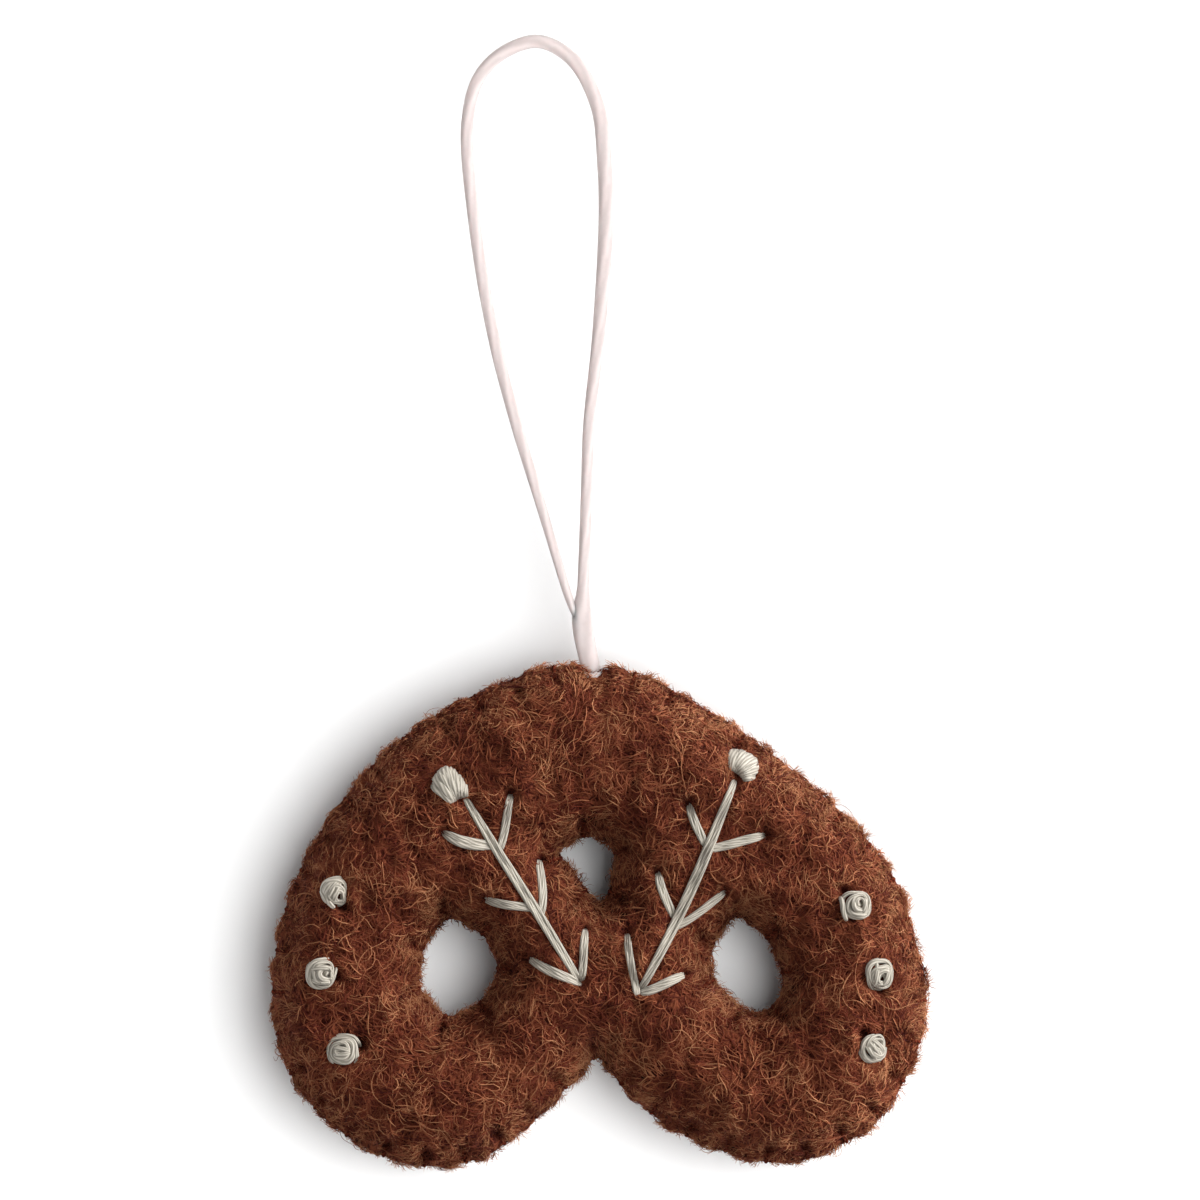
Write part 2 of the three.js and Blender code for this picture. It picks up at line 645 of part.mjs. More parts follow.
// A blanket stitch: a run of thread along the edge and, at every second point of its line, a leg over
// the front and over the back, shorter where it would reach the embroidery. A run that doesn't close
// leaves out the first and last half stitch.
function seamThread(line, closed) {
  const radius = SEAM_THREAD / 2;
  const off = CLEARANCE + radius;
  const edgeFace = CLEARANCE / 2 + RIM_THICKNESS;
  const room = radius + FLOSS_HEIGHT + 2 * CLEARANCE;
  const travel = directions(line);
  const run = [];
  let legs = null;
  line.forEach(([x, z], index) => {
    const [tx, tz] = travel[index];
    const outside = (distance, y) => new THREE.Vector3(x + tz * distance, y, z - tx * distance);
    if (!closed && (index < 2 || index > line.length - 2)) {
      return;
    }
    run.push({
      centre: outside(off, 0),
      across: new THREE.Vector3(tz, 0, -tx).multiplyScalar(radius),
      lift: new THREE.Vector3(0, radius, 0),
    });
    if (index % 2 === 1) {
      return;
    }
    let depth = STITCH_DEPTH;
    while (depth > 0 && embroideryGap([x - tz * depth, z + tx * depth]) < room) {
      depth -= STITCH_TRIM;
    }
    const seat = outside(-depth - CLEARANCE, 0);
    const footFace = outerFace(seamDistance(seat.x, seat.z)) + off + radius;
    const path = [
      outside(-depth, -footFace),
      outside(Math.SQRT1_2 * off, -edgeFace - off),
      outside(Math.SQRT1_2 * off, edgeFace + off),
      outside(-depth, footFace),
    ];
    const across = new THREE.Vector3(tx, 0, tz).multiplyScalar(radius);
    const leg = path.map((centre, k) => {
      const forward = path[Math.min(3, k + 1)].clone().sub(path[Math.max(0, k - 1)]).normalize();
      return { centre, across, lift: forward.cross(across) };
    });
    const solid = solidOf(loft(leg, SEAM_SIDES));
    legs = legs ? legs.add(solid) : solid;
  });
  return geometryOfSolid(solidOf(loft(run, SEAM_SIDES, closed)).add(legs));
}

addPiece(ornament, 'outer_seam_thread', seamThread(outerLine, false), THREAD_BROWN);
HOLES.forEach(({ name }, i) => {
  addPiece(ornament, `${name}_thread`, seamThread(holeLines[i], true), THREAD_BROWN);
});

export default root;
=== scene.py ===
# %% [markdown]
# # A felt pretzel ornament
# Two panels of brown wool felt are sewn edge to edge round a stuffing. The front is embroidered with two
# twigs and six French knots, and the whole hangs on a loop of pale cord. The solids give every piece its
# size and place. This lesson dresses them: each cell makes one piece or one finish and prints what it made.

# %% Load the solids
import math

import bpy
import numpy as np
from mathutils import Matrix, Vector
from mathutils.geometry import delaunay_2d_cdt


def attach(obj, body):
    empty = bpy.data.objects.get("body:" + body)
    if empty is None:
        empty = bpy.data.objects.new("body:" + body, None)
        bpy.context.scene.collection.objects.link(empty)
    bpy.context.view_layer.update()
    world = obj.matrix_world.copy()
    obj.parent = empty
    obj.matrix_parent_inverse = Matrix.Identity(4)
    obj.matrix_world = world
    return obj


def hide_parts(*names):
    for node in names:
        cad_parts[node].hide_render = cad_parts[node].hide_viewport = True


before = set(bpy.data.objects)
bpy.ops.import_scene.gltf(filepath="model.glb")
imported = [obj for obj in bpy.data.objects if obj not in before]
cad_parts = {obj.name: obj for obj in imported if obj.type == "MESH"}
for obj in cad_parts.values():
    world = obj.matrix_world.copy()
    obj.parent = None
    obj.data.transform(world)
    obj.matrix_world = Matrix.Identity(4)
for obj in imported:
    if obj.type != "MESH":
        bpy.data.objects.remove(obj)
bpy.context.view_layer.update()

# %% [markdown]
# ## Camera
# The photograph looks straight at the ornament's front and shows no perspective, so a long lens stands
# squarely in front of it. The picture is 139 mm wide at the plane of the seams.

# %% Camera
PICTURE_WIDTH = 0.1391
MIDDLE_X, MIDDLE_Z = 0.00708, -0.06404
LENS, SENSOR = 260.0, 36.0
camera_data = bpy.data.cameras.new("photo_camera")
camera_data.lens = LENS
camera_data.sensor_width = SENSOR
camera_data.clip_start = 0.01
camera = bpy.data.objects.new("photo_camera", camera_data)
camera.location = (MIDDLE_X, -PICTURE_WIDTH * LENS / SENSOR, MIDDLE_Z)
camera.rotation_euler = (math.pi / 2, 0.0, 0.0)
bpy.context.scene.collection.objects.link(camera)
bpy.context.scene.camera = camera
print("camera", round(-camera.location.y, 3), "m in front of the seams")

# %% [markdown]
# ## Smooth lines
# Outlines, stitches and the cord all follow smooth lines through a few chosen points. A spline of the centripetal
# kind passes through its points, and doesn't overshoot where they lie close together.

# %% Smooth lines
def smooth_spans(before, first, second, after, steps):
    """Each span from first to second: time runs by the root of each chord, and the curve is three rounds of
    straight mixing between neighbours, first of points, then of those mixes, then of theirs."""
    before, first, second, after = (p[:, None] for p in (before, first, second, after))
    root = lambda a, b: np.sqrt(np.linalg.norm(b - a, axis=2, keepdims=True))
    t1 = root(before, first)
    t2 = t1 + root(first, second)
    t3 = t2 + root(second, after)
    t = t1 + (t2 - t1) * np.linspace(0, 1, steps, endpoint=False)[None, :, None]
    a1 = ((t1 - t) * before + t * first) / t1
    a2 = ((t2 - t) * first + (t - t1) * second) / (t2 - t1)
    a3 = ((t3 - t) * second + (t - t2) * after) / (t3 - t2)
    b1 = ((t2 - t) * a1 + t * a2) / t2
    b2 = ((t3 - t) * a2 + (t - t1) * a3) / (t3 - t1)
    return (((t2 - t) * b1 + (t - t1) * b2) / (t2 - t1)).reshape(-1, before.shape[2])


def closed_line(corners, steps=40):
    """A smooth ring through the corners."""
    p = np.asarray(corners, float)
    return smooth_spans(np.roll(p, 1, 0), p, np.roll(p, -1, 0), np.roll(p, -2, 0), steps)


def open_line(corners, steps=40):
    """A smooth line through the corners, with each end's neighbour mirrored beyond it."""
    p = np.asarray(corners, float)
    p = np.vstack([2 * p[0] - p[1], p, 2 * p[-1] - p[-2]])
    return np.vstack([smooth_spans(p[:-3], p[1:-2], p[2:-1], p[3:], steps), p[-2]])


def evenly(line, count, ring):
    """The line again, with count points at equal distances along it."""
    if ring:
        line = np.vstack([line, line[:1]])
    travelled = np.concatenate([[0], np.cumsum(np.linalg.norm(np.diff(line, axis=0), axis=1))])
    stops = np.linspace(0, travelled[-1], count, endpoint=not ring)
    return np.stack([np.interp(stops, travelled, axis) for axis in line.T], axis=1)


def length_of(line, ring):
    """The sum of the line's steps."""
    if ring:
        line = np.vstack([line, line[:1]])
    return float(np.linalg.norm(np.diff(line, axis=0), axis=1).sum())


# %% [markdown]
# ## Meshes from arrays
# Every new piece is worked out as whole arrays. One helper puts such arrays into a mesh, and one carries a
# round section along many paths at once. That second one makes cord, thread, floss and wool fibres alike.

# %% Mesh helpers
MM = 0.001


def new_piece(name, points, faces, material, body, slot, **marks):
    """A mesh piece from points in millimetres and a list of face arrays, three or four corners a row. A mark
    is one number for each point, kept as an attribute, or a pair for each corner, kept as a UV map."""
    mesh = bpy.data.meshes.new(name)
    sizes = np.concatenate([np.full(len(f), f.shape[1]) for f in faces])
    corners = np.concatenate([f.ravel() for f in faces])
    mesh.vertices.add(len(points))
    mesh.vertices.foreach_set("co", (np.asarray(points) * MM).astype(np.float32).ravel())
    mesh.loops.add(len(corners))
    mesh.loops.foreach_set("vertex_index", corners.astype(np.int32))
    mesh.polygons.add(len(sizes))
    mesh.polygons.foreach_set("loop_start", (np.cumsum(sizes) - sizes).astype(np.int32))
    mesh.polygons.foreach_set("use_smooth", np.full(len(sizes), True))
    for mark, values in marks.items():
        if values.ndim == 2:
            layer = mesh.uv_layers.new(name=mark)
            layer.data.foreach_set("uv", values.astype(np.float32).ravel())
        else:
            layer = mesh.attributes.new(mark, "FLOAT", "POINT")
            layer.data.foreach_set("value", values.astype(np.float32))
    mesh.update(calc_edges=True)
    mesh.validate()
    mesh.materials.append(material)
    piece = bpy.data.objects.new(name, mesh)
    bpy.context.scene.collection.objects.link(piece)
    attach(piece, body)
    return piece


def unit(v):
    """The same direction, one long."""
    return v / np.maximum(np.linalg.norm(v, axis=-1, keepdims=True), 1e-9)


def in_space(places, depth):
    """Flat places (x, z) set at a depth along Y, one value for all or one for each."""
    return np.stack([places[..., 0], np.broadcast_to(depth, places.shape[:-1]), places[..., 1]], axis=-1)


def carried(paths, ups, wide, high, sides):
    """An oval section carried along paths (strands x stations x 3). At each station the section stands square
    to the path: wide is its half-width across, high its half-height along ups, each one value for all stations
    or one for each. Returns points, faces and a UV pair for each corner: turns round the section, begun
    elsewhere on each strand, and millimetres along it."""
    strands, stations, _ = paths.shape
    travel = unit(np.gradient(paths, axis=1))
    across = unit(np.cross(travel, ups))
    lift = np.cross(across, travel)
    turn = 2 * np.pi * np.arange(sides) / sides
    wide, high = (np.broadcast_to(half, paths.shape[:2])[..., None, None] for half in (wide, high))
    ring = across[:, :, None] * (np.cos(turn)[:, None] * wide)
    ring = ring + lift[:, :, None] * (np.sin(turn)[:, None] * high)
    points = (paths[:, :, None] + ring).reshape(-1, 3)
    number = np.arange(strands * stations * sides).reshape(strands, stations, sides)
    a, b = number[:, :-1], number[:, 1:]
    quads = np.stack([a, np.roll(a, -1, 2), np.roll(b, -1, 2), b], axis=-1).reshape(-1, 4)[:, ::-1]
    caps = np.concatenate([number[:, 0], number[:, -1, ::-1]])
    step = np.linalg.norm(np.diff(paths, axis=1), axis=2)
    along = np.concatenate([np.zeros((strands, 1)), np.cumsum(step, axis=1)], axis=1)
    u0 = np.arange(sides) / sides + 0.618 * np.arange(strands)[:, None, None] + np.zeros(a.shape)
    v0 = np.broadcast_to(along[:, :-1, None], a.shape)
    v1 = np.broadcast_to(along[:, 1:, None], a.shape)
    u1 = u0 + 1 / sides
    corners = ((u0, v0), (u1, v0), (u1, v1), (u0, v1))
    pairs = np.stack([np.stack(corner, -1) for corner in corners], 3)
    pairs = pairs.reshape(-1, 4, 2)[:, ::-1].reshape(-1, 2)
    cap_pairs = np.zeros((caps.size, 2))
    return points, [quads, caps], np.concatenate([pairs, cap_pairs])


# %% [markdown]
# ## Finishes
# Wool felt is a mat of curled fibres: bright where one lies on top, near black in the shade between them. The
# base coat paints that light and shade into its colour with ridged noise, whose thin bright ridges curl like
# fibres, and the loose fibres on top are real geometry, each with its own shade of colour. Thread and cord get
# fine light and dark lines that run round them as their twist does, painted ridge light and groove shade, from
# the UV map that follows each strand.

# %% Finish helpers
def colour(red, green, blue):
    """An sRGB colour, as a colour picker gives it, turned into the linear light that shaders use."""
    share = np.array([red, green, blue]) / 255
    linear = np.where(share <= 0.04045, share / 12.92, ((share + 0.055) / 1.055) ** 2.4)
    return (*linear.tolist(), 1.0)


def node_tools(tree):
    """Three shortcuts for a tree of shader nodes: add a node with its settings, work out a number with a Math
    node from plain numbers and other nodes' outputs, and join an output to an input."""
    def add(kind, **settings):
        node = tree.nodes.new(kind)
        for key, value in settings.items():
            if key in node.inputs:
                node.inputs[key].default_value = value
            else:
                setattr(node, key, value)
        return node

    def reckon(operation, *terms, clamp=False):
        node = add("ShaderNodeMath", operation=operation, use_clamp=clamp)
        for socket, term in zip(node.inputs, terms):
            if isinstance(term, bpy.types.NodeSocket):
                tree.links.new(term, socket)
            else:
                socket.default_value = term
        return node.outputs["Value"]

    return add, reckon, tree.links.new


def new_finish(name, roughness, sheen=0.0, specular=0.3):
    """A material with one Principled shader, and the shortcuts for its nodes."""
    material = bpy.data.materials.new(name)
    material.use_nodes = True
    shader = material.node_tree.nodes["Principled BSDF"]
    shader.inputs["Roughness"].default_value = roughness
    shader.inputs["Sheen Weight"].default_value = sheen
    shader.inputs["Specular IOR Level"].default_value = specular
    return material, shader, *node_tools(material.node_tree)


def shades(add, stops):
    """A colour ramp with the given (place, colour) stops."""
    ramp = add("ShaderNodeValToRGB")
    elements = ramp.color_ramp.elements
    elements[0].position, elements[0].color = stops[0]
    elements[1].position, elements[1].color = stops[-1]
    for place, tint in stops[1:-1]:
        elements.new(place).color = tint
    return ramp


# %% Wool felt
felt_coat, shader, add, reckon, join = new_finish("felt_coat", 0.95, sheen=0.08, specular=0.05)
shader.inputs["Sheen Tint"].default_value = colour(150, 92, 66)
place = add("ShaderNodeTexCoord")
curls = add(
    "ShaderNodeTexNoise", noise_type="RIDGED_MULTIFRACTAL", normalize=True, Scale=1100.0, Detail=4.0,
    Roughness=0.6, Lacunarity=2.2, Offset=0.9, Gain=1.6, Distortion=1.2,
)
mottle = add("ShaderNodeTexNoise", Scale=140.0, Detail=2.0)
dent_shade_mark = add("ShaderNodeAttribute", attribute_name="dent")
tint = shades(add, [(0.0, colour(35, 11, 7)), (0.5, colour(63, 24, 15)), (1.0, colour(108, 57, 38))])
bump = add("ShaderNodeBump", Strength=0.6, Distance=0.0002)
join(place.outputs["Object"], curls.inputs["Vector"])
join(place.outputs["Object"], mottle.inputs["Vector"])
# Painted light and shade: the ridged noise makes the coat bright on the fibre tops and near black between them, and
# the same noise raises the bump. The mottle varies the tone at random.
patches = reckon("MULTIPLY_ADD", mottle.outputs["Fac"], 0.55, -0.25)
# The dent mark subtracts painted shade where the felt is drawn into a dent.
level = reckon("SUBTRACT", reckon("ADD", curls.outputs["Fac"], patches), dent_shade_mark.outputs["Fac"])
join(level, tint.inputs["Fac"])
join(tint.outputs["Color"], shader.inputs["Base Color"])
join(curls.outputs["Fac"], bump.inputs["Height"])
join(bump.outputs["Normal"], shader.inputs["Normal"])
print("felt coat:", len(felt_coat.node_tree.nodes), "nodes")

# %% Wool fibres
FIBRE_SHADES = [
    (0.0, colour(62, 18, 13)), (0.4, colour(99, 44, 28)), (0.75, colour(138, 79, 53)), (1.0, colour(169, 114, 80)),
]
wool_fibre, shader, add, _, join = new_finish("wool_fibre", 0.8, specular=0.1)
shade = add("ShaderNodeAttribute", attribute_name="shade")
tint = shades(add, FIBRE_SHADES)
join(shade.outputs["Fac"], tint.inputs["Fac"])
join(tint.outputs["Color"], shader.inputs["Base Color"])
print("wool fibre:", len(FIBRE_SHADES), "shades")


# %% Threads
def thread_finish(name, dark, light, twist, lines, depth, roughness, sheen, waxed=0.0, specular=0.3):
    """Twisted thread: the light and dark lines follow the twist, painted light on its ridges and painted shade in
    its grooves. They are a sine wave of turns round the strand times lines, plus millimetres along it times twist,
    roughened by noise, and the same wave raises the bump. Wax lets light through from one side to the other."""
    material, shader, add, reckon, join = new_finish(name, roughness, sheen=sheen, specular=specular)
    shader.inputs["Subsurface Weight"].default_value = waxed
    shader.inputs["Subsurface Radius"].default_value = (1.0, 0.9, 0.9)
    shader.inputs["Subsurface Scale"].default_value = 0.0012
    strand = add("ShaderNodeUVMap", uv_map="strand")
    parts = add("ShaderNodeSeparateXYZ")
    place = add("ShaderNodeTexCoord")
    wander = add("ShaderNodeTexNoise", Scale=900.0, Detail=2.0)
    level = add("ShaderNodeMapRange", **{"From Min": -1.0})
    tint = shades(add, [(0.0, dark), (0.55, tuple(np.add(dark, light) / 2)), (1.0, light)])
    bump = add("ShaderNodeBump", Strength=0.8, Distance=depth)
    join(strand.outputs["UV"], parts.inputs["Vector"])
    join(place.outputs["Object"], wander.inputs["Vector"])
    turns = reckon("MULTIPLY", parts.outputs["X"], lines * 2 * math.pi)
    phase = reckon("MULTIPLY_ADD", parts.outputs["Y"], twist * 2 * math.pi, turns)
    wave = reckon("SINE", reckon("MULTIPLY_ADD", wander.outputs["Fac"], 3.0, phase))
    join(wave, level.inputs["Value"])
    join(level.outputs["Result"], tint.inputs["Fac"])
    join(tint.outputs["Color"], shader.inputs["Base Color"])
    join(level.outputs["Result"], bump.inputs["Height"])
    join(bump.outputs["Normal"], shader.inputs["Normal"])
    return material


sage_floss = thread_finish(
    "sage_floss", colour(134, 128, 116), colour(189, 181, 168), twist=0.5, lines=5, depth=0.00003, roughness=0.6,
    sheen=0.1)
brown_thread = thread_finish(
    "brown_thread", colour(58, 20, 13), colour(98, 44, 29), twist=1.6, lines=2, depth=0.00008, roughness=0.95,
    sheen=0.0, specular=0.02)
pale_cord = thread_finish(
    "pale_cord", colour(203, 192, 190), colour(219, 208, 206), twist=0.12, lines=4, depth=0.00002, roughness=0.7,
    sheen=0.0, waxed=0.9)
white_fill = thread_finish(
    "white_fill", colour(206, 202, 194), colour(240, 238, 232), twist=0.5, lines=3, depth=0.0001, roughness=0.95,
    sheen=0.2)
finishes = (felt_coat, wool_fibre, sage_floss, brown_thread, pale_cord, white_fill)
print("finishes:", [finish.name for finish in finishes])

# %% [markdown]
# ## Hanging cord
# One length of waxed cotton cord goes up from the top seam, over the hanging point and back down. It is a
# tube along the solids' own route, whose far end goes back into the object. Near the felt the two strands are
# waxed together into one band: the right one widens to the band's width, and the left one goes on inside it.

# %% Hanging cord
CORD_EXIT = np.array([6.4, -72.9])
LEFT_STRAND = [
    (-4, -0.5), (-6.9, -3.4), (-8.3, -8.7), (-7.45, -20.5), (-5.25, -33.5), (-2.6, -43.7), (0, -52.3), (2, -59),
    (3.2, -63),
]
RIGHT_STRAND = [
    (3.9, -1.4), (6.8, -6.8), (7.6, -13.4), (7.75, -20.5), (6.9, -33.5), (5.8, -43.7), (5.5, -52.3), (5.25, -59),
    (5.1, -63),
]
NECK = np.array([(4.95, -66.9), (6.25, -73.25)])
LEFT_SHIFT, RIGHT_SHIFT = [0.4, 0], [0.08, 0]  # of each end from the neck's line, left and right
LOOP_TOP = (0, 0.7)
CORD_STATIONS, CORD_SIDES = 260, 14
# Half-widths across, at shares of the loop's length from its thin left end to the band at its right end.
WIDTH_AT = [0, 0.035, 0.055, 0.2, 0.45, 0.6, 0.68, 0.8, 0.93, 0.955, 1]
HALF_WIDTHS = [0.12, 0.12, 0.47, 0.7, 0.72, 0.86, 0.86, 0.68, 0.66, 1.2, 1.1]
DEPTH_AT = [0, 0.035, 0.055, 1]
HALF_DEPTHS = [0.12, 0.12, 0.62, 0.66]
TOWARDS_FRONT, TOWARDS_BACK = [0.0, -1.0, 0.0], [0.0, 1.0, 0.0]
left_end, right_end = NECK[::-1] - LEFT_SHIFT, NECK + RIGHT_SHIFT
corners = np.vstack([left_end, LEFT_STRAND[::-1], [LOOP_TOP], RIGHT_STRAND, right_end])
route = in_space(evenly(open_line(corners), CORD_STATIONS, ring=False), 0.0)
share = np.linspace(0, 1, CORD_STATIONS)
cord_half = np.interp(share, WIDTH_AT, HALF_WIDTHS)
cord_deep = np.interp(share, DEPTH_AT, HALF_DEPTHS)
points, faces, pairs = carried(route[None], TOWARDS_FRONT, cord_half, cord_deep, CORD_SIDES)
hanging_cord = new_piece("hanging_cord_loop", points, faces, pale_cord, "hanging_loop", "cord", strand=pairs)
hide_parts("hanging_cord")
cord_length = length_of(route, ring=False)
print("cord", round(cord_length, 1), "mm long")

# %% [markdown]
# ## Seams
# The pretzel is one outer seam and three holes. A place's distance from the seams decides how high the
# stuffing lifts the felt there. The distance used here is smooth: two over its square is the sum, along all
# the seams, of one over the cube of the straight distance. Beside one long straight seam it is the plain
# distance, and it has no creases where two seams are equally near.

# %% Seam lines
WIDTH, HEIGHT = 75.0, 57.5
STITCH_PITCH, FEWEST_STITCHES = 4.8, 4
OUTLINE = [
    (-0.009, 0.981), (-0.055, 0.998), (-0.141, 0.966), (-0.224, 0.917), (-0.309, 0.845), (-0.396, 0.724),
    (-0.462, 0.579), (-0.494, 0.44), (-0.5, 0.31), (-0.47, 0.172), (-0.4, 0.071), (-0.318, 0.013),
    (-0.245, 0), (-0.176, 0.022), (-0.112, 0.084), (-0.046, 0.168), (-0.004, 0.218), (0.045, 0.148),
    (0.105, 0.083), (0.185, 0.034), (0.272, 0.007), (0.345, 0.027), (0.427, 0.095), (0.482, 0.215),
    (0.499, 0.337), (0.482, 0.45), (0.455, 0.56), (0.405, 0.655), (0.352, 0.724), (0.25, 0.832),
    (0.1515, 0.917), (0.079, 0.966), (0.03, 0.992),
]
# Each hole: its middle, its width and height in millimetres, and its outline in shares of these.
HOLES = {
    "left_hole": ((-0.219, 0.394), 9.5, 11.9, [
        (-0.14, 0.5), (0.22, 0.4), (0.5, 0.13), (0.4, -0.26), (-0.1, -0.5), (-0.48, -0.24), (-0.45, 0.2)]),
    "right_hole": ((0.226, 0.399), 8.8, 11.9, [
        (-0.12, 0.5), (0.22, 0.34), (0.45, 0.07), (0.5, -0.29), (0.16, -0.5), (-0.28, -0.31), (-0.5, -0.06),
        (-0.43, 0.27)]),
    "top_hole": ((-0.02, 0.591), 7.0, 8.4, [
        (-0.06, 0.5), (0.26, 0.46), (0.5, 0.22), (0.47, -0.14), (0.24, -0.5), (-0.2, -0.13), (-0.5, 0.27)]),
}


def at(shares):
    """A place in the plane of the seams, in millimetres from the hanging point, from shares of the ornament's
    width from its middle and of its height from its bottom."""
    return (np.asarray(shares, float) - OUTLINE[0]) * [WIDTH, HEIGHT] + CORD_EXIT


rings = {"outer_seam": closed_line(at(OUTLINE))}
for name, (middle, width, height, outline) in HOLES.items():
    rings[name] = closed_line(at(middle) + np.array(outline) * [width, height])


def ahead(ring):
    """The direction of travel along a ring, from each point's two neighbours."""
    return unit(np.roll(ring, -1, 0) - np.roll(ring, 1, 0))


def inward(travel):
    """The felt lies to the left of every seam's direction."""
    return np.stack([-travel[:, 1], travel[:, 0]], axis=1)


stitch_places, stitch_travel = {}, {}
for name, ring in rings.items():
    count = 2 * max(FEWEST_STITCHES, round(length_of(ring, True) / STITCH_PITCH))
    stops = evenly(ring, count, True)
    start = 2 if name == "outer_seam" else 0  # the first place of the outer seam is the cord's
    stitch_places[name] = stops[start::2]
    stitch_travel[name] = ahead(stops)[start::2]
print("stitches:", {name: len(p) for name, p in stitch_places.items()})

# %% Height of the felt
RIM, CROWN, REACH, PLUMPNESS = 1.35, 5.2, 7.5, 0.85
SEAM_STEP, BLOCK, TOUCHING, WAVES = 2.4, 3000, 1e-7, 40
seam_rings = [evenly(ring, 2 * round(length_of(ring, True) / SEAM_STEP), True) for ring in rings.values()]
seam_from = np.vstack(seam_rings)
seam_to = np.vstack([np.roll(ring, -1, 0) for ring in seam_rings])


def seam_distance(places):
    """The smooth distance from the seams: the root of two over the sum of each seam step's integral of one over
    distance cubed, which is (end / its distance - start / its distance) / offset squared."""
    step = seam_to - seam_from
    length = np.linalg.norm(step, axis=1)
    along = step / length[:, None]
    total = []
    for block in np.array_split(places, max(1, len(places) // BLOCK)):
        gap = seam_from[None] - block[:, None]
        start = (gap * along).sum(2)
        end = start + length
        off2 = np.maximum((gap[..., 0] * along[:, 1] - gap[..., 1] * along[:, 0]) ** 2, TOUCHING)
        total.append(((end / np.sqrt(off2 + end**2) - start / np.sqrt(off2 + start**2)) / off2).sum(1))
    return np.sqrt(2 / np.concatenate(total))


def swell(share):
    """One minus the square of what is left to the full crown, raised to the plumpness."""
    return (1 - (1 - np.clip(share, 0, 1)) ** 2) ** PLUMPNESS


def lumps(places, size, seed):
    """Gentle unevenness of about one: a sum of waves of random heading and phase, each of about that size."""
    rng = np.random.default_rng(seed)
    heading = rng.uniform(0, 2 * np.pi, WAVES)
    rate = 2 * np.pi / (size * rng.uniform(0.7, 1.6, WAVES))
    wave = places @ (np.stack([np.cos(heading), np.sin(heading)]) * rate)
    return np.cos(wave + rng.uniform(0, 2 * np.pi, WAVES)).sum(1) / math.sqrt(WAVES / 2)


def soft_step(share):
    """Zero to one with level ends: three squares minus two cubes."""
    share = np.clip(share, 0, 1)
    return share * share * (3 - 2 * share)


# %% Stitch dents
# No two stitches are pulled alike. On the outer seam the pull is weaker above, and whole at the bottom.
PULL_FROM, PULL_TO, PULL_ABOVE = 0.45, 1.1, 0.62
BOTTOM_FROM, BOTTOM_OVER = -108, 14
GROOVE_HALF, GROOVE_END, GROOVE_FADE, GROOVE_OUT = 0.62, 2.7, 1.2, -1.5
GROOVE_FROM, GROOVE_BY, GROOVE_OVER = 0.4, 1.2, 1.4  # depth at the edge, what it gains, and over how far
all_places = np.vstack(list(stitch_places.values()))
all_travel = np.vstack(list(stitch_travel.values()))
low_down = soft_step((BOTTOM_FROM - all_places[:, 1]) / BOTTOM_OVER)
outermost = np.arange(len(all_places)) < len(stitch_places["outer_seam"])
stitch_pull = np.random.default_rng(7).uniform(PULL_FROM, PULL_TO, len(all_places))
stitch_pull = stitch_pull * np.where(outermost, PULL_ABOVE + (1 - PULL_ABOVE) * low_down, 1.0)


def stitch_dents(places):
    """How deep the seam stitches draw the felt in: at each stitch a groove with a bell-shaped section that runs
    from the edge, deepens and fades out a little way in. The deepest groove counts."""
    gap = places[:, None] - all_places[None]
    side = (gap * all_travel).sum(2)
    deep = (gap * inward(all_travel)).sum(2)
    bell = np.exp(-((side / GROOVE_HALF) ** 2))
    groove = bell * soft_step((GROOVE_END - deep) / GROOVE_FADE) * (deep > GROOVE_OUT)
    return (groove * stitch_pull * (GROOVE_FROM + GROOVE_BY * soft_step(deep / GROOVE_OVER))).max(1)


def to_segment(places, start, end):
    """Straight distance from places to a stitch's line."""
    step = end - start
    along = np.clip(((places - start) @ step) / (step @ step), 0, 1)
    return np.linalg.norm(places - start - along[:, None] * step, axis=1)


print("stitches are pulled from", round(stitch_pull.min(), 2), "to", round(stitch_pull.max(), 2))

# %% [markdown]
# ## Embroidery plan
# Each twig is a long stem stitch laid over the inner ends of six leaf stitches, with a bud of satin stitches
# at its top. Where the floss goes into the felt the needle leaves a small dimple, and a laid stitch presses a
# shallow groove; the felt and its fibres are painted darker in these dents, as shade. The plan comes before the
# felt, because the felt's height depends on it.

# %% Embroidery plan
STEMS = {
    "left": (at((-0.204, 0.7312)), at((-0.0306, 0.3708))),
    "right": (at((0.2053, 0.7673)), at((0.0643, 0.3571))),
}
# Each leaf: its root, its tip, how far it bows sideways in millimetres, and its width against a plain leaf's.
LEAVES = {
    "left": [
        ((-0.1751, 0.646), (-0.2417, 0.669), 0.4, 1.35), ((-0.1526, 0.646), (-0.1376, 0.7476), -0.15, 1.0),
        ((-0.1148, 0.5198), (-0.1777, 0.5347), 0.12, 1.05), ((-0.0923, 0.5198), (-0.096, 0.6133), -0.4, 1.05),
        ((-0.032, 0.3673), (-0.1085, 0.4149), 0.1, 1.15), ((-0.0294, 0.374), (-0.0232, 0.474), -0.1, 1.0),
    ],
    "right": [
        ((0.1592, 0.6524), (0.1362, 0.7284), 0.15, 1.05), ((0.1822, 0.6419), (0.2555, 0.6649), -0.1, 1.1),
        ((0.1131, 0.5022), (0.0887, 0.5905), 0.2, 1.05), ((0.1294, 0.4933), (0.193, 0.5516), -0.3, 0.95),
        ((0.0561, 0.3536), (0.0413, 0.4667), 0.1, 0.95), ((0.0669, 0.35), (0.1294, 0.3837), -0.1, 1.15),
    ],
}
# Each bud: its foot, and the rim that its satin stitches reach.
BUDS = {
    "left": ((-0.2155, 0.734), [
        (-0.259, 0.766), (-0.2535, 0.788), (-0.247, 0.798), (-0.238, 0.803), (-0.227, 0.797), (-0.216, 0.783),
        (-0.2095, 0.765)]),
    "right": ((0.2105, 0.7835), [
        (0.2025, 0.8345), (0.212, 0.836), (0.223, 0.833), (0.2335, 0.8265), (0.243, 0.8165), (0.2445, 0.8),
        (0.238, 0.7825)]),
}
